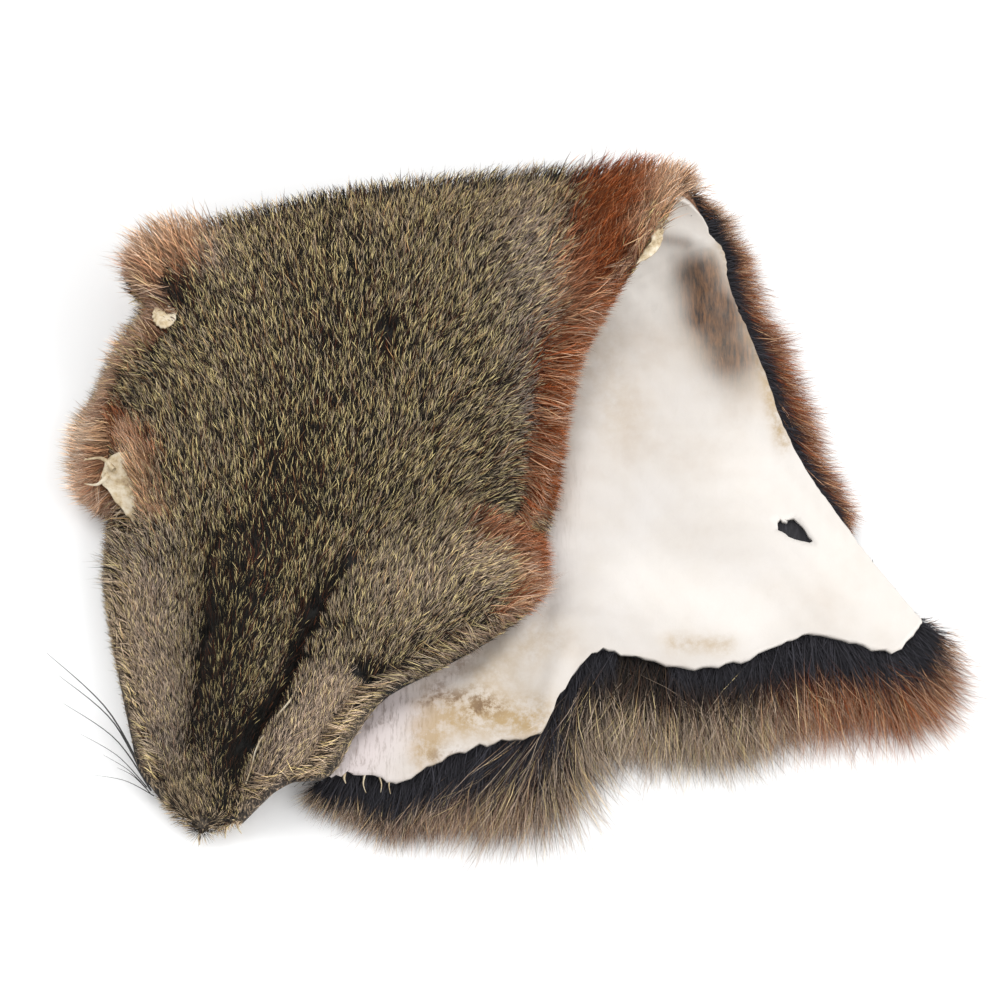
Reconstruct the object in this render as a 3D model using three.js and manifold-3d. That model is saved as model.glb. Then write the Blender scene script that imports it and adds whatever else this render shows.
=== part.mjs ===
// A squirrel skin, tanned with the fur on, folded once across the back and laid down.
// Millimetres, +Z up. The head half lies on top with its fur up and its mouth towards -Y.
// The fold runs along +Y. The rump half lies beneath, flesh side up, and spreads to +X.
import * as THREE from 'three';
import { mergeVertices } from 'three/addons/utils/BufferGeometryUtils.js';
import Module from 'manifold-3d';

const wasm = await Module();
wasm.setup();

// Driving sizes
const HIDE_THICKNESS = 1.2;
const GAP = 0.3; // left between pieces that lie on each other
const BACK_COAT = 4.6; // depth of the fur as it lies on the back
const HEAD_COAT = 2.2; // and of the short hair on the face
const FACE_END = 0.08; // share of the head half where the face's short hair begins to grow longer
const NAPE = 0.44; // and where it has its full depth
const COAT_OVERHANG = 3; // the dense fur reaches this far past the hide
const RIM_DEPTH = 0.6; // share of its depth that the coat keeps at its rim
const RIM_LIFT = 1.1; // and that rim is this far above the surface under the rump half

const SURFACE_LEVEL = HIDE_THICKNESS / 2; // middle of the hide where it lies on the surface
const LOWER_LEVEL = HIDE_THICKNESS / 2 + GAP + BACK_COAT; // where the rump half lies on its own fur
const LAYER_GAP = 1.6; // between the flesh sides of the two halves
const UPPER_LEVEL = LOWER_LEVEL + HIDE_THICKNESS + LAYER_GAP; // where the head half lies on the rump half
const FOLD_RADIUS = 5.5;
const FOLD_MIDDLE = LOWER_LEVEL + FOLD_RADIUS;
const FOLD_TOP = FOLD_MIDDLE + FOLD_RADIUS;
const FOLD_REACH = 62; // the head half comes down from the fold over this length
const FOLD_REACH_AT_SURFACE = 26; // and over this one beside the rump half
const DRAPE_LEAD = 6; // the head half clears the rump half's hidden edge by this
const DRAPE_WIDTH = 18; // and comes down to the surface over this width

// Both side edges of each half in plan, seen from above.
// Columns: left x, left y, right x, right y. A row for each cross-section, from the mouth to the fold.
const HEAD_HALF = [
  [-62.4, -63.8, -50.8, -66.7],
  [-67.4, -56.9, -46.6, -63.6],
  [-69.5, -50.1, -41.2, -60.6],
  [-72.1, -40.7, -33.8, -58.8],
  [-74.6, -30.2, -29.4, -51.0],
  [-76.4, -19.4, -23.6, -43.1],
  [-76.4, -10.7, -13.2, -37.1],
  [-75.6, -3.0, -2.3, -30.4],
  [-77.6, -1.0, 4.3, -23.4],
  [-80.4, 1.8, 5.9, -17.4],
  [-82.2, 8.6, 5.5, -11.6],
  [-82.2, 15.3, 7.9, -4.5],
  [-78.6, 23.0, 9.0, 5.2],
  [-73.0, 30.0, 10.5, 17.0],
  [-68.6, 35.4, 13.6, 28.7],
  [-70.4, 39.0, 19.1, 38.2],
  [-71.6, 41.8, 25.2, 46.2],
  [-71.2, 44.2, 29.8, 53.4],
  [-70.1, 47.2, 33.2, 60.4],
];
// The same columns, from the fold to the rump.
const RUMP_HALF = [
  [-70.1, 47.2, 43.5, 61.5],
  [-65.0, 38.5, 46.4, 56.0],
  [-62.0, 30.0, 47.1, 47.7],
  [-58.0, 16.0, 51.2, 35.3],
  [-53.0, 0.2, 56.4, 19.3],
  [-48.5, -15.1, 61.3, 6.9],
  [-44.1, -30.0, 67.8, -4.2],
  [-39.4, -43.7, 75.2, -15.5],
  [-33.6, -58.3, 82.9, -26.2],
];
// Columns: x, y, from the left end to the right end of each cross edge.
const MOUTH_EDGE = [[-62.4, -63.8], [-59.0, -66.2], [-57.2, -68.4], [-54.4, -66.6], [-50.8, -66.7]];
const FOLD_LINE = [
  [-70.1, 47.2], [-53.4, 51.5], [-33.0, 56.8], [-16.5, 59.6], [3.0, 61.8], [20.0, 62.4], [33.2, 60.4],
];
const RUMP_EDGE = [
  [-33.6, -58.3], [-25.0, -58.1], [-19.2, -59.5], [-13.5, -56.2], [-7.7, -53.4], [0, -51.1], [7.6, -49.4],
  [12.0, -41.0], [18.5, -32.6], [25.8, -33.6], [37.1, -35.9], [45.9, -34.7], [54.8, -31.1], [60.8, -28.8],
  [68.6, -30.5], [77.2, -32.4], [82.9, -26.2],
];

// Rolls and bulges. Columns: from x, from y, to x, to y, half width, height.
const HEAD_RIDGES = [
  [-68.7, -14, -65.1, -52, 6.0, 4.4], // left cheek
  [-49.9, -20, -55.5, -60, 6.5, 4.2], // crown
  [-34.5, -37, -44.3, -58, 4.4, 3.6], // right cheek, past the crease
  [-28.0, -26, -6.0, -15, 9.0, 6.0], // right shoulder
  [-5.9, -12, 3.9, -15, 5.0, 2.2], // right foreleg
  [-80.8, 3, -70.1, 9, 5.0, 2.4], // left foreleg
  [-65.3, 16, -66.3, -6, 6.0, 2.6], // left shoulder
  [-40.2, 16, -41.4, -10, 12.0, 1.8], // neck
];
const RUMP_RIDGES = [
  [42.2, 52.7, 51.0, 26.0, 5.0, 2.4], // rolled edge beside the fold
  [20.5, 43.0, 8.0, -10.0, 10.0, 1.4], // rise towards the mouth of the fold
  [-29.6, -54.0, -3.9, -42.0, 4.5, 1.6], // pucker at the rump
  [20.0, -20.0, 60.0, -14.0, 9.0, 1.0],
];

// A small torn hole in the rump half. Columns: x, y.
const HOLE = [
  [54.8, -6.4], [55.7, -4.4], [57.0, -5.0], [58.5, -4.2], [60.4, -6.4], [62.0, -9.6], [58.7, -9.2],
];

// Long hair past the coat. Angles are those of the hair in plan, from +X, in degrees.
// Columns: node, edge, from, to, locks, first length, middle length, last length, first angle, last angle,
// lies on the surface.
const FRINGES = [
  ['fringe_rump', 'rump', 0, 1, 52, 14, 21, 10, -106, -56, true],
  ['fringe_rump_flank', 'right', 2.93, 2.05, 30, 8, 11, 8, -24, 12, true],
  ['fringe_back_flank', 'right', 0.36, 0.95, 36, 4, 7, 6, -40, 10, false],
  ['fringe_left_flank', 'left', 0.42, 1, 30, 3, 4, 11, 214, 132, false],
];
const STRIP_GAP = 0.5; // from the coat's rim, along the row
const STRIP_WIDTH = 1.6;
const LOCK_WIDTH = 1.7;
const LOCK_DEPTH = 2.6;
const FLANK_STRIP_DEPTH = 2.4;
const LOCK_SWAY = 5; // degrees to either side
const LOCK_DROOP = 0.25; // fall of a flank's lock for its length
const REST_CLEARANCE = 0.8; // a drooping lock's tip stays this far above the surface

const NORMAL_STEP = 0.004;

function smooth(value) {
  return THREE.MathUtils.smoothstep(value, 0, 1);
}

function lerp(from, to, share) {
  return THREE.MathUtils.lerp(from, to, share);
}

function planCurve(points) {
  return new THREE.SplineCurve(points.map(([x, y]) => new THREE.Vector2(x, y)));
}

function sideCurves(rows) {
  return {
    left: planCurve(rows),
    right: planCurve(rows.map(([, , x, y]) => [x, y])),
  };
}

const headSides = sideCurves(HEAD_HALF);
const rumpSides = sideCurves(RUMP_HALF);
const mouthCurve = planCurve(MOUTH_EDGE);
const foldCurve = planCurve(FOLD_LINE);
const rumpCurve = planCurve(RUMP_EDGE);

// How far a cross edge strays from the straight line between its ends.
function bow(curve, across) {
  const share = THREE.MathUtils.clamp(across, 0, 1);
  const straight = curve.getPoint(0).lerp(curve.getPoint(1), share);
  return curve.getPoint(share).sub(straight);
}

function betweenSides(sides, across, along) {
  const left = sides.left.getPoint(along);
  const right = sides.right.getPoint(along);
  return new THREE.Vector2(lerp(left.x, right.x, across), lerp(left.y, right.y, across));
}

function headPlan(across, along) {
  return betweenSides(headSides, across, along)
    .addScaledVector(bow(mouthCurve, across), (1 - along) ** 12)
    .addScaledVector(bow(foldCurve, across), along ** 2);
}

function rumpPlan(across, along) {
  return betweenSides(rumpSides, across, along)
    .addScaledVector(bow(foldCurve, across), (1 - along) ** 2)
    .addScaledVector(bow(rumpCurve, across), along ** 4);
}

function ridges(table, x, y) {
  let height = 0;
  for (const [fromX, fromY, toX, toY, halfWidth, rise] of table) {
    const run = new THREE.Vector2(toX - fromX, toY - fromY);
    const offset = new THREE.Vector2(x - fromX, y - fromY);
    const share = THREE.MathUtils.clamp(offset.dot(run) / run.lengthSq(), 0, 1);
    const distance = offset.addScaledVector(run, -share).length();
    height += rise * Math.exp(-((distance / halfWidth) ** 2));
  }
  return height;
}

// The rump half's left edge is hidden, and taken as the straight line between its ends.
function hiddenEdgeX(y) {
  const [topX, topY] = RUMP_HALF[2];
  const [bottomX, bottomY] = RUMP_HALF[RUMP_HALF.length - 1];
  return topX + ((bottomX - topX) * (y - topY)) / (bottomY - topY);
}

function headHeight(x, y, across) {
  const foldY = foldCurve.getPoint(THREE.MathUtils.clamp(across, 0, 1)).y;
  const onRump = smooth((x - hiddenEdgeX(y) + DRAPE_LEAD + DRAPE_WIDTH) / DRAPE_WIDTH);
  const fromFold = foldY - y;
  const rise = 1 - smooth(fromFold / FOLD_REACH);
  const riseAtSurface = 1 - smooth(fromFold / FOLD_REACH_AT_SURFACE);
  const level = lerp(
    lerp(SURFACE_LEVEL, FOLD_TOP, riseAtSurface),
    lerp(UPPER_LEVEL, FOLD_TOP, rise),
    onRump,
  );
  return level + ridges(HEAD_RIDGES, x, y) * (1 - rise * rise);
}

function rumpHeight(x, y, along) {
  return LOWER_LEVEL + ridges(RUMP_RIDGES, x, y) * smooth(along / 0.12);
}

// Middle of the hide. station runs 0 to 1 over the head half, to 2 round the fold, to 3 over the rump half.
function hideMiddle(across, station) {
  if (station <= 1) {
    const plan = headPlan(across, Math.max(station, 0));
    return new THREE.Vector3(plan.x, plan.y, headHeight(plan.x, plan.y, across));
  }
  if (station < 2) {
    const turn = (station - 1) * Math.PI;
    const axis = headPlan(across, 1).lerp(rumpPlan(across, 0), smooth(station - 1));
    const y = axis.y + FOLD_RADIUS * Math.sin(turn);
    return new THREE.Vector3(axis.x, y, FOLD_MIDDLE + FOLD_RADIUS * Math.cos(turn));
  }
  const plan = rumpPlan(across, Math.min(station - 2, 1));
  return new THREE.Vector3(plan.x, plan.y, rumpHeight(plan.x, plan.y, station - 2));
}

// Points out of the fur side.
function furNormal(across, station) {
  const before = Math.max(station - NORMAL_STEP, 0);
  const after = Math.min(station + NORMAL_STEP, 3);
  const acrossRun = hideMiddle(across + NORMAL_STEP, station).sub(hideMiddle(across - NORMAL_STEP, station));
  const alongRun = hideMiddle(across, after).sub(hideMiddle(across, before));
  return acrossRun.cross(alongRun).normalize();
}

function rowWidth(station) {
  return hideMiddle(0, station).distanceTo(hideMiddle(1, station));
}

// The same at a side rim, which stands upright, and turns only with the fold.
function rimNormal(station) {
  const turn = THREE.MathUtils.clamp(station - 1, 0, 1) * Math.PI;
  return new THREE.Vector3(0, Math.sin(turn), Math.cos(turn));
}

// Direction in which the rows run on past the rump.
function rumpOutward(across) {
  const run = hideMiddle(across, 3).sub(hideMiddle(across, 2.9));
  return run.setZ(0).normalize();
}

// Uneven depth of the fur: broad lumps and smaller ones.
function lumps(x, y) {
  return 0.35 * Math.sin(0.42 * x + 0.3 * y) * Math.sin(0.37 * y - 0.12 * x)
    + 0.25 * Math.sin(0.9 * x) * Math.sin(0.8 * y + 1);
}

function coatDepth(station, x, y) {
  const depth = lerp(HEAD_COAT, BACK_COAT, smooth((station - FACE_END) / (NAPE - FACE_END)));
  return depth + lumps(x, y) * (depth / BACK_COAT);
}

function steps(from, to, count) {
  return Array.from({ length: count }, (_, index) => lerp(from, to, index / count));
}

// A closed mesh of these points, with its triangles turned to face out.
function facingOut(positions, indices) {
  const at = (index) => new THREE.Vector3().fromArray(positions, 3 * index);
  let volume = 0;
  for (let first = 0; first < indices.length; first += 3) {
    const [a, b, c] = indices.slice(first, first + 3).map(at);
    volume += a.dot(b.cross(c)) / 6;
  }
  const geometry = new THREE.BufferGeometry();
  geometry.setAttribute('position', new THREE.Float32BufferAttribute(positions, 3));
  geometry.setIndex(volume < 0 ? [...indices].reverse() : indices);
  return geometry;
}

// The grid that the hide and its coat share, so that they stay parallel.
const STATIONS = [...steps(0, 1, 22), ...steps(1, 2, 6), ...steps(2, 3, 16), 3];
const SHARES = [0, 0.03, ...steps(0.08, 0.92, 18), 0.92, 0.97, 1];

// One closed body between two like grids of points.
function closedSheet(outer, inner) {
  const rows = outer.length;
  const columns = outer[0].length;
  const positions = [];
  for (const grid of [outer, inner]) {
    for (const row of grid) {
      for (const point of row) {
        positions.push(point.x, point.y, point.z);
      }
    }
  }
  const indices = [];
  const at = (face, row, column) => (face * rows + row) * columns + column;
  for (let row = 0; row + 1 < rows; row += 1) {
    for (let column = 0; column + 1 < columns; column += 1) {
      const corners = [[row, column], [row, column + 1], [row + 1, column + 1], [row + 1, column]];
      const [a, b, c, d] = corners.map(([r, k]) => at(0, r, k));
      indices.push(a, b, c, a, c, d);
      const [e, f, g, h] = corners.map(([r, k]) => at(1, r, k));
      indices.push(e, g, f, e, h, g);
    }
  }
  const rim = [];
  for (let column = 0; column + 1 < columns; column += 1) rim.push([0, column]);
  for (let row = 0; row + 1 < rows; row += 1) rim.push([row, columns - 1]);
  for (let column = columns - 1; column > 0; column -= 1) rim.push([rows - 1, column]);
  for (let row = rows - 1; row > 0; row -= 1) rim.push([row, 0]);
  rim.forEach(([row, column], index) => {
    const [nextRow, nextColumn] = rim[(index + 1) % rim.length];
    const a = at(0, row, column);
    const b = at(0, nextRow, nextColumn);
    const c = at(1, nextRow, nextColumn);
    const d = at(1, row, column);
    indices.push(a, c, b, a, d, c);
  });
  return facingOut(positions, indices);
}

function toSolid(geometry) {
  const bare = geometry.clone();
  bare.deleteAttribute('normal');
  bare.deleteAttribute('uv');
  const merged = mergeVertices(bare);
  return new wasm.Manifold(new wasm.Mesh({
    numProp: 3,
    vertProperties: new Float32Array(merged.attributes.position.array),
    triVerts: new Uint32Array(merged.index.array),
  }));
}

function toGeometry(solid) {
  const mesh = solid.getMesh();
  const geometry = new THREE.BufferGeometry();
  geometry.setAttribute('position', new THREE.Float32BufferAttribute(mesh.vertProperties, 3));
  geometry.setIndex(Array.from(mesh.triVerts));
  return geometry;
}

function namedMesh(name, geometry, color, roughness) {
  const shown = geometry.clone();
  shown.computeVertexNormals();
  const material = new THREE.MeshStandardMaterial({ color, roughness, metalness: 0 });
  const mesh = new THREE.Mesh(shown, material);
  mesh.name = name;
  return mesh;
}

// The tanned skin: one sheet, round the fold, with its torn hole cut through.
function hide() {
  const face = (offset) => STATIONS.map((station) => SHARES.map((across) => (
    hideMiddle(across, station).addScaledVector(furNormal(across, station), offset)
  )));
  const furSide = face(HIDE_THICKNESS / 2);
  const fleshSide = face(-HIDE_THICKNESS / 2);
  for (const row of fleshSide) {
    for (const point of row) point.z = Math.max(point.z, 0);
  }
  const outline = new THREE.Shape(planCurve([...HOLE, HOLE[0]]).getPoints(14));
  const cutter = new THREE.ExtrudeGeometry(outline, { depth: FOLD_MIDDLE, steps: 1, bevelEnabled: false });
  return toGeometry(toSolid(closedSheet(furSide, fleshSide)).subtract(toSolid(cutter)));
}

// The fur as a lumpy slab on the outer side of the hide: on top, round the fold and beneath.
function coat() {
  const outer = [];
  const inner = [];
  const addRow = (station, pastRump, edgeDepth) => {
    const overhang = COAT_OVERHANG / rowWidth(station);
    const outerRow = [];
    const innerRow = [];
    for (const across of [-overhang, ...SHARES, 1 + overhang]) {
      const atRim = across < 0 || across > 1;
      const normal = atRim ? rimNormal(station) : furNormal(across, station);
      const middle = hideMiddle(across, station).addScaledVector(rumpOutward(across), pastRump);
      const rim = atRim ? RIM_DEPTH : 1;
      const depth = coatDepth(station, middle.x, middle.y) * rim * edgeDepth;
      const innerPoint = middle.clone().addScaledVector(normal, HIDE_THICKNESS / 2 + GAP);
      const outerPoint = innerPoint.clone().addScaledVector(normal, depth);
      if (station >= 2) outerPoint.z = atRim ? RIM_LIFT : 0;
      outerPoint.z = Math.max(outerPoint.z, 0);
      outerRow.push(outerPoint);
      innerRow.push(innerPoint);
    }
    outer.push(outerRow);
    inner.push(innerRow);
  };
  for (const station of STATIONS) addRow(station, 0, station === 0 ? RIM_DEPTH : 1);
  addRow(3, COAT_OVERHANG, 1);
  return closedSheet(outer, inner);
}

// A point on the line where a fringe is rooted, just past the coat's rim.
function fringeRoot(edge, value, offset) {
  if (edge === 'rump') {
    const middle = hideMiddle(value, 3);
    return middle.addScaledVector(rumpOutward(value), COAT_OVERHANG + STRIP_GAP + offset);
  }
  const run = (COAT_OVERHANG + STRIP_GAP + offset) / rowWidth(value);
  return hideMiddle(edge === 'left' ? -run : 1 + run, value);
}

// A tapered lock of three sides, its flat side down, from a root inside its strip to a point.
function lock(root, angle, length, bottom, top, tipBottom) {
  const forward = new THREE.Vector3(Math.cos(angle), Math.sin(angle), 0);
  const side = new THREE.Vector3(-forward.y, forward.x, 0).multiplyScalar(LOCK_WIDTH / 2);
  const section = (share, width, depth) => {
    const centre = root.clone().addScaledVector(forward, length * share);
    centre.z = lerp(bottom, tipBottom, share);
    return [
      centre.clone().addScaledVector(side, width),
      centre.clone().addScaledVector(side, -width),
      centre.clone().setZ(centre.z + (top - bottom) * depth),
    ];
  };
  const tip = root.clone().addScaledVector(forward, length).setZ(tipBottom);
  const points = [...section(0, 1, 1), ...section(0.5, 0.75, 0.5), tip];
  const indices = [
    0, 2, 1,
    0, 1, 4, 0, 4, 3,
    1, 2, 5, 1, 5, 4,
    2, 0, 3, 2, 3, 5,
    3, 4, 6, 4, 5, 6, 5, 3, 6,
  ];
  return facingOut(points.flatMap((point) => point.toArray()), indices);
}

// A narrow strip along the coat's rim with the locks fused into it.
function fringe(row) {
  const [, edge, from, to, count, ...form] = row;
  const [firstLength, middleLength, lastLength, firstAngle, lastAngle, onSurface] = form;
  const [low, high] = [Math.min(from, to), Math.max(from, to)];
  const values = (edge === 'rump' ? SHARES : STATIONS).filter((value) => value >= low && value <= high);
  if (from > to) values.reverse();
  const line = (offset) => values.map((value) => fringeRoot(edge, value, offset));
  const near = line(0);
  const middle = line(STRIP_WIDTH / 2);
  const far = line(STRIP_WIDTH);
  const bottomOf = (point) => (onSurface ? 0 : point.z + HIDE_THICKNESS / 2 + GAP);
  const level = (points, depth) => points.map((point, index) => (
    point.clone().setZ(bottomOf(middle[index]) + depth)
  ));
  const depth = onSurface ? LOCK_DEPTH : FLANK_STRIP_DEPTH;
  let solid = toSolid(closedSheet([level(near, depth), level(far, depth)], [level(near, 0), level(far, 0)]));
  const route = new THREE.CurvePath();
  for (let index = 0; index + 1 < middle.length; index += 1) {
    route.add(new THREE.LineCurve3(middle[index], middle[index + 1]));
  }
  for (let index = 0; index < count; index += 1) {
    const share = (index + 0.5) / count;
    const root = route.getPointAt(share);
    const bottom = bottomOf(root);
    const sway = LOCK_SWAY * Math.sin(index * 2.4);
    const angle = THREE.MathUtils.degToRad(lerp(firstAngle, lastAngle, share) + sway);
    const endLength = share < 0.5 ? firstLength : lastLength;
    const length = lerp(endLength, middleLength, 1 - (2 * share - 1) ** 2);
    const reach = length * (0.88 + 0.12 * Math.sin(index * 1.7));
    const tipBottom = onSurface ? 0 : Math.max(REST_CLEARANCE, bottom - LOCK_DROOP * reach);
    solid = solid.add(toSolid(lock(root, angle, reach, bottom, bottom + depth, tipBottom)));
  }
  return toGeometry(solid);
}

const skin = new THREE.Group();
skin.add(namedMesh('hide', hide(), 0xe9e2da, 0.75));
skin.add(namedMesh('coat', coat(), 0x6b5f4c, 0.9));
for (const row of FRINGES) {
  skin.add(namedMesh(row[0], fringe(row), row[0] === 'fringe_rump' ? 0x4a4038 : 0x8a4a2c, 0.9));
}

// The origin is on the surface, under the middle of the whole.
const box = new THREE.Box3().setFromObject(skin);
const centre = box.getCenter(new THREE.Vector3());
skin.position.set(-centre.x, -centre.y, 0);
skin.updateMatrixWorld(true);

export default skin;
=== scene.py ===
import math

import bpy
import numpy as np
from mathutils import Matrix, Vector
from mathutils.kdtree import KDTree


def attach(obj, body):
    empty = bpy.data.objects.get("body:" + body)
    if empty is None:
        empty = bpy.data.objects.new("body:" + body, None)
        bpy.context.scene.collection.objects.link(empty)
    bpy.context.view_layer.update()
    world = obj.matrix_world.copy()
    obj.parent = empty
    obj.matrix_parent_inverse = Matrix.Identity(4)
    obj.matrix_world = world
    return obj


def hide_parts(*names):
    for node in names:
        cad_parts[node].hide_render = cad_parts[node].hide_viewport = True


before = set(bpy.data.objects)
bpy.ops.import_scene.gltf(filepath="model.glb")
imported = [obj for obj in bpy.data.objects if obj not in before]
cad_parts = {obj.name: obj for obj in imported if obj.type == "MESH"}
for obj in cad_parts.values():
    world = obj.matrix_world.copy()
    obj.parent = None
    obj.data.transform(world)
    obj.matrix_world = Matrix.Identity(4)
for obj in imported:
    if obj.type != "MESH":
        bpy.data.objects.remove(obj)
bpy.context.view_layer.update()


# View, floor and light
# The skin lies on a plain white table and is seen from above its front edge.
# The light is soft and comes from all round, a little stronger from the upper left and the lower right.
# Sizes are in metres in this section, and in millimetres in all others.
VIEW_ELEVATION = math.radians(65)
VIEW_DISTANCE = 0.611
VIEW_TARGET = Vector((0.00037, 0.00253, 0.006))
VIEW_LENS = 110
SENSOR_WIDTH = 36
FLOOR_HALF = 1.5
FLOOR_LEVEL = -0.0002
FLOOR_COLOUR = (0.93, 0.93, 0.93, 1)
SKY_COLOUR = (1, 1, 1, 1)
SKY_STRENGTH = 0.85
# Columns: name, x, y, z, width of the lamp, power.
LAMPS = [
    ("key_lamp", -0.45, 0.45, 0.95, 0.6, 4.6),
    ("fill_lamp", 0.9, -0.4, 0.5, 0.8, 8.6),
]


def new_object(name, data):
    made = bpy.data.objects.new(name, data)
    bpy.context.collection.objects.link(made)
    return made


def aim_at_skin(made):
    made.rotation_euler = (VIEW_TARGET - made.location).to_track_quat("-Z", "Y").to_euler()


def new_material(name, roughness):
    """A material, its nodes and the shader in it."""
    material = bpy.data.materials.new(name)
    material.use_nodes = True
    shader = material.node_tree.nodes["Principled BSDF"]
    shader.inputs["Roughness"].default_value = roughness
    return material, material.node_tree, shader


camera = new_object("camera", bpy.data.cameras.new("camera"))
camera.data.lens = VIEW_LENS
camera.data.sensor_width = SENSOR_WIDTH
view_direction = Vector((0, -math.cos(VIEW_ELEVATION), math.sin(VIEW_ELEVATION)))
camera.location = VIEW_TARGET + VIEW_DISTANCE * view_direction
aim_at_skin(camera)
bpy.context.scene.camera = camera
bpy.context.scene.view_settings.view_transform = "Standard"

world = bpy.data.worlds.new("white room")
world.use_nodes = True
world.node_tree.nodes["Background"].inputs["Color"].default_value = SKY_COLOUR
world.node_tree.nodes["Background"].inputs["Strength"].default_value = SKY_STRENGTH
bpy.context.scene.world = world

floor = new_object("floor", bpy.data.meshes.new("floor"))
corner_signs = [(-1, -1), (1, -1), (1, 1), (-1, 1)]
floor_points = [(x * FLOOR_HALF, y * FLOOR_HALF, FLOOR_LEVEL) for x, y in corner_signs]
floor.data.from_pydata(floor_points, [], [(0, 1, 2, 3)])
floor_material, tree, shader = new_material("white table", 0.9)
shader.inputs["Base Color"].default_value = FLOOR_COLOUR
floor.data.materials.append(floor_material)
for name, x, y, z, width, power in LAMPS:
    lamp = new_object(name, bpy.data.lights.new(name, "AREA"))
    lamp.data.size = width
    lamp.data.energy = power
    lamp.location = (x, y, z)
    aim_at_skin(lamp)


# Hide
# One tanned skin, thin and supple, folded once across the back, with its flesh side showing below.
# The flesh side is scraped white, with yellow and pinkish patches, and the edges are cut and torn by hand.
HIDE_THICKNESS = 1.2
BACK_COAT = 4.6
GAP_BELOW_FUR = 0.3
GAP_BETWEEN_HALVES = 1.6
SURFACE_LEVEL = HIDE_THICKNESS / 2
LOWER_LEVEL = HIDE_THICKNESS / 2 + GAP_BELOW_FUR + BACK_COAT
UPPER_LEVEL = LOWER_LEVEL + HIDE_THICKNESS + GAP_BETWEEN_HALVES
DEEPEST_CREASE = 1.4
FOLD_RADIUS = 5.5
FOLD_MIDDLE = LOWER_LEVEL + FOLD_RADIUS
FOLD_TOP = FOLD_MIDDLE + FOLD_RADIUS
FOLD_REACH = 62
FOLD_REACH_AT_SURFACE = 26
DRAPE_LEAD = 6
DRAPE_WIDTH = 18
# How far from the fold the wrinkles of the rump half begin, as a share of its length.
FLAT_BESIDE_FOLD = 0.12
WRINKLE_HEIGHT = 0.16
FINE_WRINKLE_HEIGHT = 0.07
# The tables below start from this point of the frame.
TABLE_ORIGIN = np.array([0.3692, 2.5297, 0])
# Both side edges of each half in plan, a row for each cross-section, from the mouth to the fold.
# Columns: left x, left y, right x, right y.
HEAD_HALF = np.array([
    [-62.4, -63.8, -50.8, -66.7],
    [-67.4, -56.9, -46.6, -63.6],
    [-69.5, -50.1, -41.2, -60.6],
    [-72.1, -40.7, -33.8, -58.8],
    [-74.6, -30.2, -29.4, -51.0],
    [-76.4, -19.4, -23.6, -43.1],
    [-76.4, -10.7, -13.2, -37.1],
    [-75.6, -3.0, -2.3, -30.4],
    [-77.6, -1.0, 4.3, -23.4],
    [-80.4, 1.8, 5.9, -17.4],
    [-82.2, 8.6, 5.5, -11.6],
    [-82.2, 15.3, 7.9, -4.5],
    [-78.6, 23.0, 9.0, 5.2],
    [-73.0, 30.0, 10.5, 17.0],
    [-68.6, 35.4, 13.6, 28.7],
    [-70.4, 39.0, 19.1, 38.2],
    [-71.6, 41.8, 25.2, 46.2],
    [-71.2, 44.2, 29.8, 53.4],
    [-70.1, 47.2, 33.2, 60.4],
])
# The same columns, from the fold to the rump.
RUMP_HALF = np.array([
    [-70.1, 47.2, 43.5, 61.5],
    [-65.0, 38.5, 46.4, 56.0],
    [-62.0, 30.0, 47.1, 47.7],
    [-58.0, 16.0, 51.2, 35.3],
    [-53.0, 0.2, 56.4, 19.3],
    [-48.5, -15.1, 61.3, 6.9],
    [-44.1, -30.0, 67.8, -4.2],
    [-39.4, -43.7, 75.2, -15.5],
    [-33.6, -58.3, 82.9, -26.2],
])
# Columns: x, y, from the left end to the right end of each cross edge.
MOUTH_EDGE = np.array([[-62.4, -63.8], [-59.0, -66.2], [-57.2, -68.4], [-54.4, -66.6], [-50.8, -66.7]])
FOLD_LINE = np.array([
    [-70.1, 47.2], [-53.4, 51.5], [-33.0, 56.8], [-16.5, 59.6], [3.0, 61.8], [20.0, 62.4], [33.2, 60.4],
])
RUMP_EDGE = np.array([
    [-33.6, -58.3], [-25.0, -58.1], [-19.2, -59.5], [-13.5, -56.2], [-7.7, -53.4], [0, -51.1], [7.6, -49.4],
    [12.0, -41.0], [18.5, -32.6], [25.8, -33.6], [37.1, -35.9], [45.9, -34.7], [54.8, -31.1], [60.8, -28.8],
    [68.6, -30.5], [77.2, -32.4], [82.9, -26.2],
])
# Rolls, bulges and creases. Columns: from x, from y, to x, to y, half width, height.
HEAD_RIDGES = [
    (-68.7, -14, -65.1, -52, 6.0, 4.4),
    (-49.9, -20, -55.5, -60, 6.0, 4.6),
    (-34.5, -37, -44.3, -58, 4.4, 3.9),
    (-28.0, -26, -6.0, -15, 9.0, 6.0),
    (-5.9, -12, 3.9, -15, 5.0, 2.2),
    (-80.8, 3, -70.1, 9, 5.0, 2.4),
    (-65.3, 16, -66.3, -6, 6.0, 2.6),
    (-40.2, 16, -41.4, -10, 12.0, 1.8),
    (-30.5, -24, -38.0, -38, 2.4, -1.6),
    (-38.0, -38, -46.3, -53.6, 2.2, -2.0),
    (-54.4, -12, -55.5, -31.5, 2.6, -0.9),
    (-55.5, -31.5, -59.4, -53, 2.4, -1.0),
]
RUMP_RIDGES = [
    (42.2, 52.7, 51.0, 26.0, 5.0, 2.4),
    (20.5, 43.0, 8.0, -10.0, 10.0, 1.4),
    (-29.6, -54.0, -3.9, -42.0, 4.5, 1.6),
    (20.0, -20.0, 60.0, -14.0, 9.0, 1.0),
    (38.0, 51.0, 44.0, 38.0, 3.6, -1.2),
    (12.0, -26.0, 30.0, -29.0, 2.4, 0.7),
    (12.5, -33.0, 9.0, -44.0, 2.0, 0.8),
    (-3.0, -38.0, 6.0, -25.0, 2.6, 0.8),
]
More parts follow.
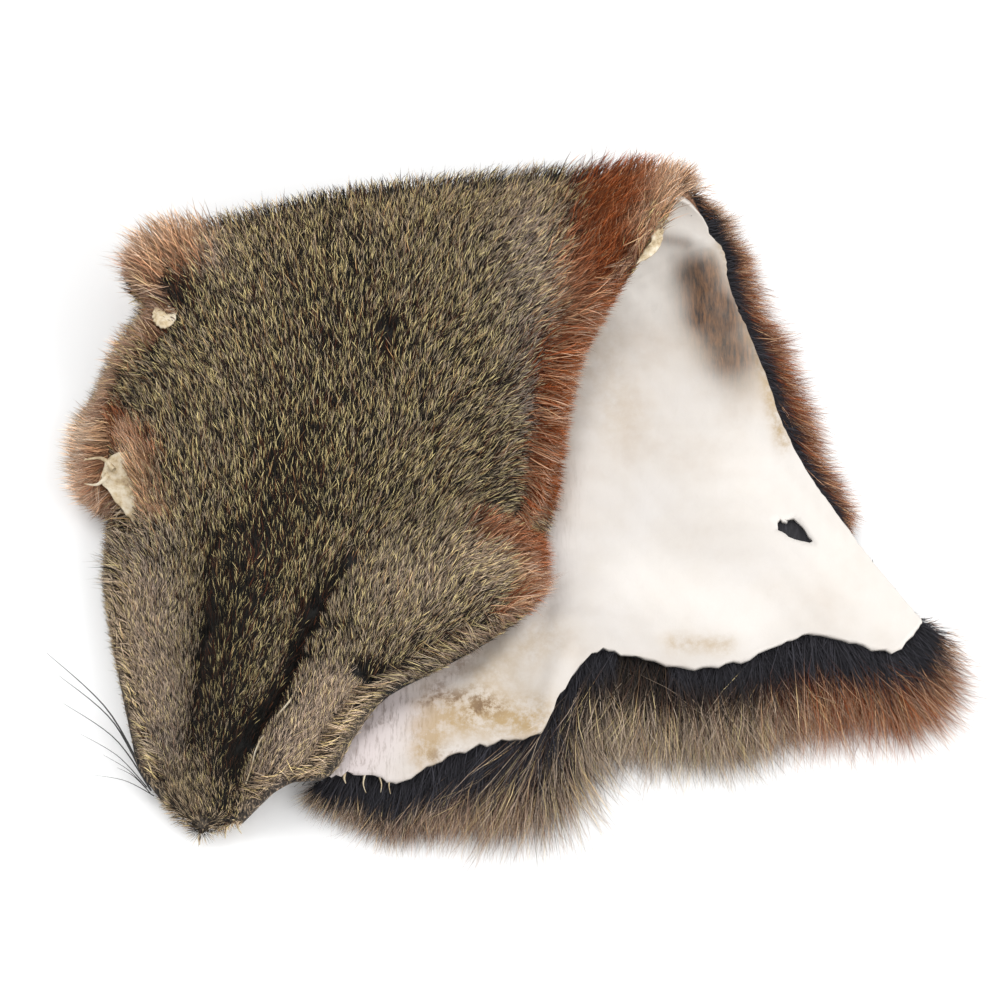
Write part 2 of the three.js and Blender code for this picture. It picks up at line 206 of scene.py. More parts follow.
# A small torn hole. Columns: x, y.
HOLE = np.array([
    [54.8, -6.4], [55.7, -4.4], [57.0, -5.0], [58.5, -4.2],
    [60.4, -6.4], [62.0, -9.6], [58.7, -9.2], [54.8, -6.4],
])
HOLE_POINTS = 90
HOLE_FRAY = 0.12
TABLE_CLEARANCE = 0.02
# How far up the inside of the fold the marks below reach.
MARKS_REACH_UP = 4
NORMAL_STEP = 0.004
RAGGED_DEPTH = 0.4
HEAD_ROWS = 56
FOLD_ROWS = 14
RUMP_ROWS = 100
HIDE_COLUMNS = 100
# Marks on the flesh side, with painted shade and painted light among them. Columns: from x, from y, to x, to
# y, half width, strength.
YELLOW_STAINS = [
    (-14.5, -44.0, -14.5, -54.0, 3.2, 1.2),
    (-11.0, -46.0, 6.0, -46.5, 4.6, 1.2),
    (-4.0, -38.0, 8.0, -30.0, 5.0, 0.5),
    (46.1, 60.5, 57.3, 12.4, 1.8, 0.9),
    (12.0, 26.0, 11.0, -2.0, 3.0, 0.45),
    (20.0, 36.0, 24.0, 18.0, 7.0, 0.25),
    (34.0, -31.0, 44.0, -31.5, 2.0, 0.6),
]
LILAC_STAINS = [
    (-29.0, -56.0, -22.0, -44.0, 8.0, 1.0),
    (10.0, 4.0, 6.0, -18.0, 6.0, 0.4),
    (-12.0, -40.0, 0.0, -27.0, 3.0, 0.4),
]
# Where the hair of the other side shows through.
SHOWING_HAIR = [
    (41.2, 51.0, 43.6, 42.5, 4.8, 0.80),
    (44.6, 41.0, 47.6, 31.5, 4.6, 0.78),
    (34.0, 60.0, 38.5, 59.0, 1.6, 0.3),
]
# Grey halos round the hair that shows through, partly painted shade under the fold, and painted shade along
# the rolled edge at the right and in the wrinkles at the lower left.
HALOS_AND_PAINTED_SHADE = [
    (40.0, 49.0, 43.0, 36.0, 7.0, 0.42),
    (-4.0, -27.0, 4.0, -40.0, 5.0, 0.35),
    (46.0, 33.0, 50.0, 26.0, 4.0, 0.4),
    (43.9, 56.0, 44.4, 50.0, 1.4, 0.5),
]
BROWN_STAINS = [
    (-14.0, -43.0, -3.0, -43.0, 1.6, 0.9),
    (-6.0, -46.0, 0.0, -44.5, 1.2, 0.8),
    (-1.0, -27.5, -12.0, -40.0, 1.5, 0.5),
    (-13.0, -54.5, -8.0, -53.5, 1.2, 0.5),
]
# Painted light: paler leather at the right, where the light is strongest, and inside the fold, where it
# offsets the fold's shade.
PAINTED_LIGHT_ON_LEATHER = [
    (52.0, 6.0, 78.0, -24.0, 13.0, 0.5),
    (28.0, -17.0, 48.0, -26.0, 8.0, 0.5),
    (30.0, 50.0, 38.0, 53.0, 8.0, 1.3),
    (37.0, 61.0, 41.0, 56.0, 4.0, 1.0),
]
# Colours in rows of place in the noise, red, green and blue.
LEATHER_COLOURS = [
    (0.30, 0.53, 0.465, 0.405),
    (0.50, 0.60, 0.555, 0.510),
    (0.72, 0.63, 0.595, 0.565),
]
LILAC_COLOURS = [(0.33, 0.34, 0.28, 0.26), (0.52, 0.60, 0.53, 0.52)]
SHOWING_HAIR_COLOURS = [(0.34, 0.030, 0.021, 0.017), (0.68, 0.22, 0.105, 0.045)]
# The first colour below is painted light, and the third is for the grey halos and the painted shade.
PAINTED_LIGHT_COLOUR = (0.84, 0.80, 0.752, 1)
YELLOW_COLOUR = (0.40, 0.28, 0.14, 1)
HALO_AND_PAINTED_SHADE_COLOUR = (0.36, 0.29, 0.21, 1)
BROWN_COLOUR = (0.16, 0.09, 0.045, 1)


def smooth(value):
    share = np.clip(value, 0, 1)
    return share * share * (3 - 2 * share)


def lerp(start, end, share):
    return start + (end - start) * share


def spline(points, share):
    """A smooth curve through the points, at shares 0 to 1 of its way."""
    last = len(points) - 1
    place = np.clip(share, 0, 1) * last
    index = np.floor(place).astype(int)
    weight = (place - index)[..., None]
    before = points[np.maximum(index - 1, 0)]
    start = points[index]
    end = points[np.minimum(index + 1, last)]
    after = points[np.minimum(index + 2, last)]
    leaving = (end - before) / 2
    arriving = (after - start) / 2
    return (
        (2 * start - 2 * end + leaving + arriving) * weight**3
        + (3 * end - 3 * start - 2 * leaving - arriving) * weight**2
        + leaving * weight
        + start
    )


def bow(points, across):
    """How far a cross edge strays from the straight line between its ends."""
    share = np.clip(across, 0, 1)
    return spline(points, share) - lerp(points[0], points[-1], share[..., None])


def patches(table, x, y):
    """The sum of rounded patches, each along a line."""
    total = np.zeros_like(x)
    for from_x, from_y, to_x, to_y, half_width, height in table:
        run_x, run_y = to_x - from_x, to_y - from_y
        share = np.clip(((x - from_x) * run_x + (y - from_y) * run_y) / (run_x**2 + run_y**2 + 1e-9), 0, 1)
        distance = np.hypot(x - from_x - share * run_x, y - from_y - share * run_y)
        total += height * np.exp(-((distance / half_width) ** 2))
    return total


def between_sides(rows, across, along):
    left = spline(rows[:, :2], along)
    right = spline(rows[:, 2:], along)
    return lerp(left, right, across[..., None])


def hidden_edge_x(y):
    """The rump half's left edge, straight and hidden below the head half."""
    top, bottom = RUMP_HALF[2], RUMP_HALF[-1]
    return top[0] + (bottom[0] - top[0]) * (y - top[1]) / (bottom[1] - top[1])


def head_plan(across, along):
    return (
        between_sides(HEAD_HALF, across, along)
        + bow(MOUTH_EDGE, across) * ((1 - along) ** 12)[..., None]
        + bow(FOLD_LINE, across) * (along**2)[..., None]
    )


def rump_plan(across, along):
    return (
        between_sides(RUMP_HALF, across, along)
        + bow(FOLD_LINE, across) * ((1 - along) ** 2)[..., None]
        + bow(RUMP_EDGE, across) * (along**4)[..., None]
    )


def head_height(x, y, across):
    fold_y = spline(FOLD_LINE, np.clip(across, 0, 1))[..., 1]
    on_rump = smooth((x - hidden_edge_x(y) + DRAPE_LEAD + DRAPE_WIDTH) / DRAPE_WIDTH)
    rise = 1 - smooth((fold_y - y) / FOLD_REACH)
    rise_at_surface = 1 - smooth((fold_y - y) / FOLD_REACH_AT_SURFACE)
    level = lerp(lerp(SURFACE_LEVEL, FOLD_TOP, rise_at_surface), lerp(UPPER_LEVEL, FOLD_TOP, rise), on_rump)
    lowest = lerp(SURFACE_LEVEL, UPPER_LEVEL - DEEPEST_CREASE, on_rump)
    return np.maximum(level + patches(HEAD_RIDGES, x, y) * (1 - rise * rise), lowest)


def rump_height(x, y, along):
    wavy = 0.5 * x + 0.9 * y + 1.5 * np.sin(0.21 * x)
    wrinkles = WRINKLE_HEIGHT * np.sin(wavy) * np.sin(0.31 * x - 0.17 * y)
    wrinkles += FINE_WRINKLE_HEIGHT * np.sin(1.7 * x - 1.1 * y) * np.sin(0.9 * y + 0.4 * x)
    return LOWER_LEVEL + (patches(RUMP_RIDGES, x, y) + wrinkles) * smooth(along / FLAT_BESIDE_FOLD)


def hide_middle(across, station):
    """The middle of the hide: stations 0 to 1 are the head half, to 2 the fold, to 3 the rump half."""
    across, station = np.broadcast_arrays(np.asarray(across, float), np.asarray(station, float))
    head = head_plan(across, np.clip(station, 0, 1))
    head_z = head_height(head[..., 0], head[..., 1], across)
    turn = np.clip(station - 1, 0, 1) * math.pi
    rump_along = np.clip(station - 2, 0, 1)
    rump = rump_plan(across, rump_along)
    rump_z = rump_height(rump[..., 0], rump[..., 1], rump_along)
    on_head = (station <= 1)[..., None]
    on_rump = (station >= 2)[..., None]
    axis = lerp(head, rump, smooth(station - 1)[..., None])
    fold_y = axis[..., 1] + FOLD_RADIUS * np.sin(turn)
    fold_z = FOLD_MIDDLE + FOLD_RADIUS * np.cos(turn)
    fold = np.stack([axis[..., 0], fold_y, fold_z], -1)
    return np.where(
        on_head,
        np.concatenate([head, head_z[..., None]], -1),
        np.where(on_rump, np.concatenate([rump, rump_z[..., None]], -1), fold),
    )


def unit(vectors):
    return vectors / np.maximum(np.linalg.norm(vectors, axis=-1, keepdims=True), 1e-9)


def fur_normal(across, station):
    """Points out of the fur side."""
    run_across = hide_middle(across + NORMAL_STEP, station) - hide_middle(across - NORMAL_STEP, station)
    after = np.minimum(station + NORMAL_STEP, 3)
    before = np.maximum(station - NORMAL_STEP, 0)
    return unit(np.cross(run_across, hide_middle(across, after) - hide_middle(across, before)))


def rim_normal(station):
    turn = np.clip(station - 1, 0, 1) * math.pi
    return np.stack([np.zeros_like(turn), np.sin(turn), np.cos(turn)], -1)


def ragged(place):
    """An uneven line, as of an edge cut by hand."""
    return np.sin(2.1 * place) * np.sin(0.83 * place + 1) + 0.6 * np.sin(5.3 * place) * np.sin(1.9 * place)


def placed(points):
    """From the tables' millimetres to the frame's metres."""
    return (points + TABLE_ORIGIN) / 1000


def new_mesh(name, points, polygons):
    """An object from an array of points and a list of polygon arrays, one for each number of corners."""
    mesh = bpy.data.meshes.new(name)
    mesh.vertices.add(len(points))
    mesh.vertices.foreach_set("co", placed(points).astype(np.float32).ravel())
    corners = np.concatenate([group.ravel() for group in polygons])
    sizes = np.concatenate([np.full(len(group), group.shape[1]) for group in polygons])
    mesh.loops.add(len(corners))
    mesh.loops.foreach_set("vertex_index", corners.astype(np.int32))
    mesh.polygons.add(len(sizes))
    mesh.polygons.foreach_set("loop_start", (np.cumsum(sizes) - sizes).astype(np.int32))
    mesh.update(calc_edges=True)
    mesh.validate()
    return new_object(name, mesh)


def mark(made, **values):
    """Named numbers on each point, for the material to read."""
    for name, numbers in values.items():
        layer = made.data.attributes.new(name, "FLOAT", "POINT")
        layer.data.foreach_set("value", np.ascontiguousarray(numbers, np.float32).ravel())


def inside(outline, x, y):
    """Whether the points lie within a closed outline."""
    within = np.zeros(x.shape, bool)
    for (start_x, start_y), (end_x, end_y) in zip(outline, np.roll(outline, -1, 0)):
        level = (start_y > y) != (end_y > y)
        within ^= level & (x < (end_x - start_x) * (y - start_y) / (end_y - start_y + 1e-12) + start_x)
    return within


def sheet_polygons(rows, columns, open_cells=None):
    """The faces of a closed sheet: an outer grid of points, then an inner one. Open cells are left out."""
    row, column = np.meshgrid(np.arange(rows - 1), np.arange(columns - 1), indexing="ij")
    corner = (row * columns + column).ravel()
    outer = np.stack([corner, corner + 1, corner + columns + 1, corner + columns], -1)
    rim = np.concatenate([
        np.arange(columns - 1),
        np.arange(rows - 1) * columns + columns - 1,
        (rows - 1) * columns + np.arange(columns - 1, 0, -1),
        np.arange(rows - 1, 0, -1) * columns,
    ])
    edges = np.column_stack([np.roll(rim, -1), rim])
    if open_cells is not None:
        opened = outer[open_cells.ravel()]
        outer = outer[~open_cells.ravel()]
        around = opened[:, [[0, 1], [1, 2], [2, 3], [3, 0]]].reshape(-1, 2)
        shared = set(map(tuple, around[:, ::-1]))
        edges = np.concatenate([edges, [edge for edge in map(tuple, around) if edge not in shared]])
    inner = outer[:, ::-1] + rows * columns
    walls = np.column_stack([edges, edges[:, ::-1] + rows * columns])
    return np.concatenate([outer, inner, walls])


def shade_smooth(made):
    made.data.polygons.foreach_set("use_smooth", np.ones(len(made.data.polygons), bool))


def feed(tree, socket, value):
    """Links a socket to another one, or gives it a plain value."""
    if isinstance(value, bpy.types.NodeSocket):
        tree.links.new(value, socket)
    else:
        socket.default_value = value


def add(tree, kind, properties=None, **inputs):
    """A shader node with its properties, and its input values by name."""
    node = tree.nodes.new(kind)
    for name, value in (properties or {}).items():
        setattr(node, name, value)
    for name, value in inputs.items():
        feed(tree, node.inputs[name], value)
    return node


def number(tree, operation, *values):
    """A number worked out from others."""
    node = add(tree, "ShaderNodeMath", {"operation": operation})
    for socket, value in zip(node.inputs, values):
        feed(tree, socket, value)
    return node.outputs[0]


def noise(tree, vector, scale, detail=2, roughness=0.5):
    """Uneven numbers over the surface, from 0 to 1."""
    return add(
        tree, "ShaderNodeTexNoise", Vector=vector, Scale=scale, Detail=detail, Roughness=roughness
    ).outputs["Fac"]


def ramp(tree, factor, stops):
    """Colours by place, in rows of place, red, green and blue."""
    node = tree.nodes.new("ShaderNodeValToRGB")
    tree.links.new(factor, node.inputs[0])
    elements = node.color_ramp.elements
    elements[0].position, elements[0].color = stops[0][0], (*stops[0][1:], 1)
    elements[1].position, elements[1].color = stops[-1][0], (*stops[-1][1:], 1)
    for place, *colour in stops[1:-1]:
        elements.new(place).color = (*colour, 1)
    return node.outputs["Color"]


def mixed(tree, factor, first, second, blend="MIX"):
    """A colour between two others. The sockets used are the Mix node's own for colours."""
    node = add(tree, "ShaderNodeMix", {"data_type": "RGBA", "blend_type": blend})
    for socket, value in ((node.inputs[0], factor), (node.inputs[6], first), (node.inputs[7], second)):
        feed(tree, socket, value)
    return node.outputs[2]


def attribute(tree, name):
    return add(tree, "ShaderNodeAttribute", {"attribute_name": name}).outputs["Fac"]


hide_stations = np.concatenate([
    np.linspace(0, 1, HEAD_ROWS, endpoint=False),
    np.linspace(1, 2, FOLD_ROWS, endpoint=False),
    np.linspace(2, 3, RUMP_ROWS),
])
column_turn = np.linspace(0, math.pi, HIDE_COLUMNS)
hide_shares = 0.5 - 0.5 * np.cos(column_turn) * (1 - 0.35 * np.sin(column_turn))
hide_station, hide_across = np.meshgrid(hide_stations, hide_shares, indexing="ij")
middles = hide_middle(hide_across, hide_station)
normals = fur_normal(hide_across, hide_station)
to_rump_end = smooth((hide_station - 2.97) / 0.03)
to_side = smooth((np.abs(hide_across - 0.5) - 0.48) / 0.02) * np.sign(hide_across - 0.5)
middles[..., 1] += RAGGED_DEPTH * ragged(middles[..., 0]) * to_rump_end
middles[..., 0] += 0.3 * RAGGED_DEPTH * ragged(middles[..., 1] + 7) * to_side
hole_outline = spline(HOLE, np.linspace(0, 1, HOLE_POINTS, endpoint=False))
hole_outline += HOLE_FRAY * np.sin(np.arange(HOLE_POINTS) * 2.3)[:, None]
cell_x, cell_y = ((middles[1:, 1:, axis] + middles[:-1, :-1, axis]) / 2 for axis in (0, 1))
open_cells = inside(hole_outline, cell_x, cell_y) & (hide_station[1:, 1:] > 2)
padded = np.pad(open_cells, 1).astype(int)
cells_touched = padded[1:, 1:] + padded[1:, :-1] + padded[:-1, 1:] + padded[:-1, :-1]
at_hole = (cells_touched > 0) & (cells_touched < 4)
apart = np.linalg.norm(middles[at_hole][:, None, :2] - hole_outline, axis=-1)
middles[at_hole, :2] = hole_outline[np.argmin(apart, axis=1)]
to_surface = normals * (HIDE_THICKNESS / 2)
fur_side = middles + to_surface
flesh_side = middles - to_surface
flesh_side[..., 2] = np.maximum(flesh_side[..., 2], TABLE_CLEARANCE)
hide_points = np.concatenate([fur_side.reshape(-1, 3), flesh_side.reshape(-1, 3)])
hide_faces = sheet_polygons(len(hide_stations), HIDE_COLUMNS, open_cells)
used, corners = np.unique(hide_faces, return_inverse=True)
hide = new_mesh("tanned_hide_sheet", hide_points[used], [corners.reshape(hide_faces.shape)])
shade_smooth(hide)

hide_now = np.empty(len(hide.data.vertices) * 3, np.float32)
hide.data.vertices.foreach_get("co", hide_now)
hide_now = hide_now.reshape(-1, 3) * 1000 - TABLE_ORIGIN
hide_x, hide_y = hide_now[:, 0], hide_now[:, 1]
below_fold = (hide_now[:, 2] < LOWER_LEVEL + MARKS_REACH_UP).astype(float)
showing_hair = np.clip(patches(SHOWING_HAIR, hide_x, hide_y), 0, 1)
mark(
    hide,
    yellow=patches(YELLOW_STAINS, hide_x, hide_y) * below_fold,
    lilac=patches(LILAC_STAINS, hide_x, hide_y) * below_fold,
    showing=(1 - (1 - showing_hair) ** 2) * below_fold,
    shaded=patches(HALOS_AND_PAINTED_SHADE, hide_x, hide_y) * below_fold,
    brown=patches(BROWN_STAINS, hide_x, hide_y) * below_fold,
    bright=patches(PAINTED_LIGHT_ON_LEATHER, hide_x, hide_y) * below_fold,
)

leather, tree, shader = new_material("scraped leather", 0.62)
position = add(tree, "ShaderNodeTexCoord").outputs["Object"]
broad = noise(tree, position, 55, 5, 0.6)
plain = ramp(tree, broad, LEATHER_COLOURS)
# Painted light: the leather turns paler where the bright mark lies.
plain = mixed(tree, attribute(tree, "bright"), plain, PAINTED_LIGHT_COLOUR)
stretched = add(tree, "ShaderNodeMapping", Vector=position, Scale=(1.0, 0.12, 1.0)).outputs["Vector"]
fibres = noise(tree, stretched, 1600, 3, 0.7)
specks = noise(tree, position, 420, 6, 0.75)
yellow_specks = ramp(tree, specks, [(0.36, 0.25, 0.25, 0.25), (0.60, 1, 1, 1)])
yellow = number(tree, "MULTIPLY", attribute(tree, "yellow"), yellow_specks)
surface = mixed(tree, yellow, plain, YELLOW_COLOUR)
surface = mixed(tree, attribute(tree, "lilac"), surface, ramp(tree, fibres, LILAC_COLOURS))
# Grey halos and painted shade, where the shaded mark lies.
surface = mixed(tree, attribute(tree, "shaded"), surface, HALO_AND_PAINTED_SHADE_COLOUR)
showing_cover = ramp(tree, broad, [(0.30, 0.80, 0.80, 0.80), (0.50, 1, 1, 1)])
showing = number(tree, "MULTIPLY", attribute(tree, "showing"), showing_cover)
surface = mixed(tree, showing, surface, ramp(tree, fibres, SHOWING_HAIR_COLOURS))
brown_specks = ramp(tree, specks, [(0.45, 0, 0, 0), (0.58, 1, 1, 1)])
brown = number(tree, "MULTIPLY", attribute(tree, "brown"), brown_specks)
surface = mixed(tree, brown, surface, BROWN_COLOUR)
bump = add(tree, "ShaderNodeBump", Strength=0.25, Distance=0.0004, Height=specks)
tree.links.new(surface, shader.inputs["Base Color"])
tree.links.new(bump.outputs["Normal"], shader.inputs["Normal"])
hide.data.materials.append(leather)
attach(hide, "root")
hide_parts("hide")


# Torn leather at the edges
# Scraps and threads of the same skin, dried and curled where the legs, the flank and the corner were cut.
# Columns: x, y of the outline in plan.
LEG_CURL = [
    (-79.6, 2.6), (-78.4, 6.8), (-74.8, 8.6), (-70.2, 6.0),
    (-68.6, 2.2), (-69.0, -2.0), (-72.0, -5.4), (-75.0, -3.0),
]
FLANK_SCRAP = [
    (-69.6, 33.6), (-69.0, 36.0), (-67.6, 35.2), (-66.6, 36.6),
    (-65.0, 35.4), (-65.4, 32.6), (-67.2, 31.0), (-68.8, 31.8),
]
CORNER_SCRAP = [
    (27.6, 46.6), (29.2, 49.6), (30.6, 50.6), (30.8, 53.6),
    (32.3, 57.4), (33.2, 54.4), (32.6, 51.0), (30.6, 48.4),
]
# Columns: name, outline, height of the middle, bulge, lift of the left side, lift of the far side.
SCRAPS = [
    ("curled_leather_of_the_leg", LEG_CURL, 8.6, -1.4, 0.8, 1.8),
    ("torn_leather_of_the_flank", FLANK_SCRAP, 20.6, 0.5, 0.7, -0.5),
    ("torn_leather_of_the_corner", CORNER_SCRAP, 19.6, 0.4, 0.3, 0.4),
]
SCRAP_THICKNESS = 0.5
SCRAP_FRAY = 0.14
SCRAP_CRUMPLE = 0.18
SCRAP_RINGS = 9
SCRAP_SIDES = 48
# Columns: root x, y, z, tip x, y, z, bow to the side, thickness.
THREADS = [
    (-77.0, 4.6, 10.2, -83.2, 7.2, 9.5, 1.6, 1.3),
    (-78.0, 3.8, 10.0, -83.0, 2.4, 8.5, -1.2, 1.1),
    (-71.2, 39.0, 17.5, -75.2, 39.2, 16.0, 0.7, 0.7),
    (-71.0, 36.0, 17.5, -72.6, 34.0, 16.5, -0.4, 0.8),
    (-29.9, -57.6, 5.4, -29.6, -59.6, 5.0, 0.2, 0.8),
    (-26.0, -58.0, 5.4, -25.7, -61.4, 4.6, 0.4, 0.45),
    (-23.2, -58.2, 5.4, -22.9, -61.3, 4.6, -0.3, 0.42),
    (-21.2, -58.6, 5.4, -21.0, -61.6, 4.6, 0.2, 0.4),
    (-52.0, -66.3, 2.0, -52.7, -69.4, 1.2, 0.3, 0.9),
    (-50.4, -66.0, 2.0, -49.6, -68.4, 1.0, 0.3, 0.8),
    (-57.3, -67.6, 1.6, -57.6, -70.6, 1.0, 0.3, 1.0),
]
# The skin's cut edge along the crease beside the cheek. Columns: x, y, z.
CHEEK_CUT = [
    (-38.9, -42.6, 12.8), (-39.6, -45.0, 13.7), (-41.2, -47.2, 13.3),
    (-42.8, -48.8, 12.3), (-44.0, -51.0, 11.7), (-45.6, -53.0, 11.5),
    (-46.6, -55.6, 11.7), (-47.2, -58.4, 11.4), (-48.4, -61.2, 9.4),
]
CHEEK_CUT_WIDTH = 0.5
DRIED_COLOURS = [
    (0.32, 0.24, 0.15, 0.08),
    (0.46, 0.52, 0.41, 0.25),
    (0.62, 0.70, 0.62, 0.48),
]


def bowed(table):
    """Three points of a path that bows to one side, for each row."""
    rows = np.array(table)
    start, end = rows[:, :3], rows[:, 3:6]
    side = unit(np.cross(end - start, [0, 0, 1.0]))
    return np.stack([start, (start + end) / 2 + side * rows[:, 6:7], end], 1), rows[:, 7]


def tapered(name, paths, widths, rings=14, sides=6, end_share=0.15):
    """Slender tapered rods along smooth paths, as one mesh."""
    made_points, made_quads = [], []
    for index, (path, width) in enumerate(zip(paths, widths)):
        share = np.linspace(0, 1, rings)
        centre = spline(np.asarray(path, float), share)
        run = unit(np.gradient(centre, axis=0))
        side = unit(np.cross(run, [0, 0, 1.0]))
        upward = np.cross(side, run)
        radius = (width / 2 * lerp(1, end_share, share))[:, None]
        for corner in range(sides):
            turn = 2 * math.pi * corner / sides
            made_points.append(centre + radius * (math.cos(turn) * side + math.sin(turn) * upward))
        first = index * sides * rings
        for corner in range(sides):
            this = first + corner * rings
            beside = first + (corner + 1) % sides * rings
            ring = np.arange(rings - 1)
            made_quads.append(np.stack([this + ring, beside + ring, beside + ring + 1, this + ring + 1], -1))
    made = new_mesh(name, np.concatenate(made_points), [np.concatenate(made_quads)])
    shade_smooth(made)
    return made


dry_leather, tree, shader = new_material("dried leather", 0.55)
position = add(tree, "ShaderNodeTexCoord").outputs["Object"]
dried = noise(tree, position, 330, 4, 0.7)
dried_colour = ramp(tree, dried, DRIED_COLOURS)
dried_bump = add(tree, "ShaderNodeBump", Strength=0.5, Distance=0.0004, Height=dried)
tree.links.new(dried_colour, shader.inputs["Base Color"])
tree.links.new(dried_bump.outputs["Normal"], shader.inputs["Normal"])

leather_pieces = []
for name, outline, level, bulge, left_lift, far_lift in SCRAPS:
    closed = np.array(outline + outline[:1])
    rim = spline(closed, np.linspace(0, 1, SCRAP_SIDES, endpoint=False))
    rim += SCRAP_FRAY * np.sin(np.arange(SCRAP_SIDES) * 2.1)[:, None]
    middle = rim.mean(0)
    share = np.linspace(0.02, 1, SCRAP_RINGS)[:, None, None]
    plan = (middle + share * (rim - middle)).reshape(-1, 2)
    from_middle = plan - middle
    reach = np.abs(from_middle).max(0)
    share = np.repeat(share.ravel(), SCRAP_SIDES)
    height = level + bulge * (1 - share**2) - left_lift * from_middle[:, 0] / reach[0]
    crumples = SCRAP_CRUMPLE * np.sin(3.1 * plan[:, 0]) * np.sin(2.3 * plan[:, 1])
    height += far_lift * from_middle[:, 1] / reach[1] + crumples
    top = np.column_stack([plan, height])
    bottom = top - [0, 0, SCRAP_THICKNESS]
    ring, turn = np.meshgrid(np.arange(SCRAP_RINGS - 1), np.arange(SCRAP_SIDES), indexing="ij")
    this = (ring * SCRAP_SIDES + turn).ravel()
    beside = (ring * SCRAP_SIDES + (turn + 1) % SCRAP_SIDES).ravel()
    upper = np.stack([this, this + SCRAP_SIDES, beside + SCRAP_SIDES, beside], -1)
    edge = (SCRAP_RINGS - 1) * SCRAP_SIDES + np.arange(SCRAP_SIDES)
    next_edge = np.roll(edge, -1)
    skirt = np.stack([edge, edge + len(top), next_edge + len(top), next_edge], -1)
    cap = np.arange(SCRAP_SIDES)[None, :]
    scrap = new_mesh(name, np.concatenate([top, bottom]), [
        np.concatenate([upper, upper[:, ::-1] + len(top), skirt]),
        np.concatenate([cap, cap[:, ::-1] + len(top)]),
    ])
    shade_smooth(scrap)
    leather_pieces.append(scrap)
leather_pieces.append(tapered("torn_leather_threads", *bowed(THREADS)))
cut_edge = tapered("cut_edge_at_the_cheek", [CHEEK_CUT], [CHEEK_CUT_WIDTH], rings=30, end_share=0.6)
leather_pieces.append(cut_edge)
for scrap in leather_pieces:
    scrap.data.materials.append(dry_leather)
    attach(scrap, "root")


# Underfur
# The dense, short, dark wool next to the skin, which fills the coat below the longer hair.
# The coat is thin on the face and full from the nape on, and pressed flat beneath the rump half.
HEAD_COAT = 2.2
# Stations along the skin: 0 at the mouth, 1 and 2 at the two ends of the fold, 3 at the rump's edge.
FACE_END = 0.08
NAPE = 0.44
LUMP_HEIGHT = 0.35
SMALL_LUMP_HEIGHT = 0.25
UNDERFUR_SHARE = 0.5
UNDERFUR_GAP = 0.02
UNDERFUR_OVERHANG = 1.6
UNDERFUR_INSET_BELOW = 0.6
UNDERFUR_RIM = 0.22
RUMP_FUR_END = 2.993
PRESSED_LEVEL = 0.05
PRESSED_RIM_LEVEL = 1.5
DEEPEST_FURROW = 0.85
UNDERFUR_ROWS = (60, 12, 36)
UNDERFUR_COLUMNS = 74
# Furrows where the fur parts or sinks. Columns: from x, from y, to x, to y, half width, share of its depth.
FURROWS = [
    (-29.0, -20.0, -35.0, -29.5, 2.0, 0.7),
    (-35.0, -29.5, -38.9, -37.5, 2.2, 0.9),
    (-39.2, -39.5, -43.0, -48.0, 2.2, 0.9),
    (-43.0, -48.0, -48.4, -56.0, 2.2, 0.9),
    (-48.4, -56.0, -51.6, -64.0, 2.2, 0.7),
    (-54.4, -10.1, -55.5, -31.5, 1.8, 0.3),
    (-55.5, -31.5, -59.4, -53.2, 1.8, 0.45),
    (-23.2, 32.0, -23.1, 25.5, 1.6, 0.5),
    (-28.5, -41.0, -24.0, -43.5, 2.0, 0.6),
    (-77.0, 5.0, -72.0, -1.0, 3.0, 0.5),
]
# Where the fur differs from the grizzled coat, and where painted shade darkens the creases of the head.
# Columns: from x, from y, to x, to y, half width, strength.
RUST_AREAS = [
    (22.3, 62.2, 18.8, 47.0, 6.5, 1.2),
    (16.5, 42.0, 12.5, 24.0, 5.6, 1.2),
    (11.5, 22.0, 8.5, 2.0, 5.4, 1.1),
    (30.0, 64.0, 40.0, 66.0, 5.0, 1.3),
    (-75.0, 54.0, -67.0, 50.0, 7.0, 1.2),
    (-84.0, 28.0, -76.0, 31.0, 3.0, 0.8),
    (-86.0, 15.0, -77.0, 16.5, 3.6, 1.1),
    (-86.0, 13.0, -83.0, -2.0, 4.5, 1.2),
    (-5.0, -13.5, 2.0, -14.5, 2.2, 0.85),
    (3.5, -15.0, 6.0, -24.0, 3.6, 1.1),
    (-73.0, 12.5, -69.0, 6.0, 2.6, 0.9),
    (-69.0, 3.5, -66.5, -6.0, 2.6, 0.5),
]
# Darker fur in broad stripes, and painted shade: more black hairs along the furrows and creases of the head.
DARK_FUR_AND_CREASE_SHADE = [
    (-43.0, 2.0, -41.0, -22.0, 8.0, 0.4),
    (-34.8, 50.0, -33.7, 3.0, 17.0, 0.4),
    (-23.2, 32.0, -23.1, 25.5, 1.8, 0.9),
    (-49.0, -16.0, -53.0, -57.0, 6.0, 0.55),
    (-29.0, -20.0, -35.0, -29.5, 2.0, 1.2),
    (-35.0, -29.5, -38.9, -37.5, 2.4, 2.0),
    (-39.2, -39.5, -43.0, -48.0, 2.4, 2.0),
    (-43.0, -48.0, -48.4, -56.0, 2.6, 2.0),
    (-48.4, -56.0, -51.6, -64.0, 2.4, 1.6),
    (-54.4, -14.0, -55.5, -31.5, 2.2, 0.6),
    (-55.5, -31.5, -59.4, -53.2, 2.2, 0.9),
    (-28.5, -41.0, -22.0, -43.0, 2.6, 1.4),
    (-16.0, -38.0, 0.0, -30.0, 3.0, 0.35),
    (-71.0, 41.0, -64.0, 38.0, 4.0, 1.1),
    (-81.0, 9.0, -79.0, 6.0, 2.4, 0.5),
]
GREY_AREAS = [
    (4.0, 53.0, 6.5, 18.0, 7.0, 0.9),
    (6.9, 18.0, 6.0, 0.0, 6.0, 0.8),
    (-68.0, -15.0, -64.0, -52.0, 7.0, 0.7),
    (-32.0, -44.0, -44.0, -60.0, 6.0, 0.8),
    (-20.0, -26.0, -6.0, -18.0, 9.0, 0.5),
    (-60.0, 51.0, -58.0, 46.0, 4.0, 0.9),
]
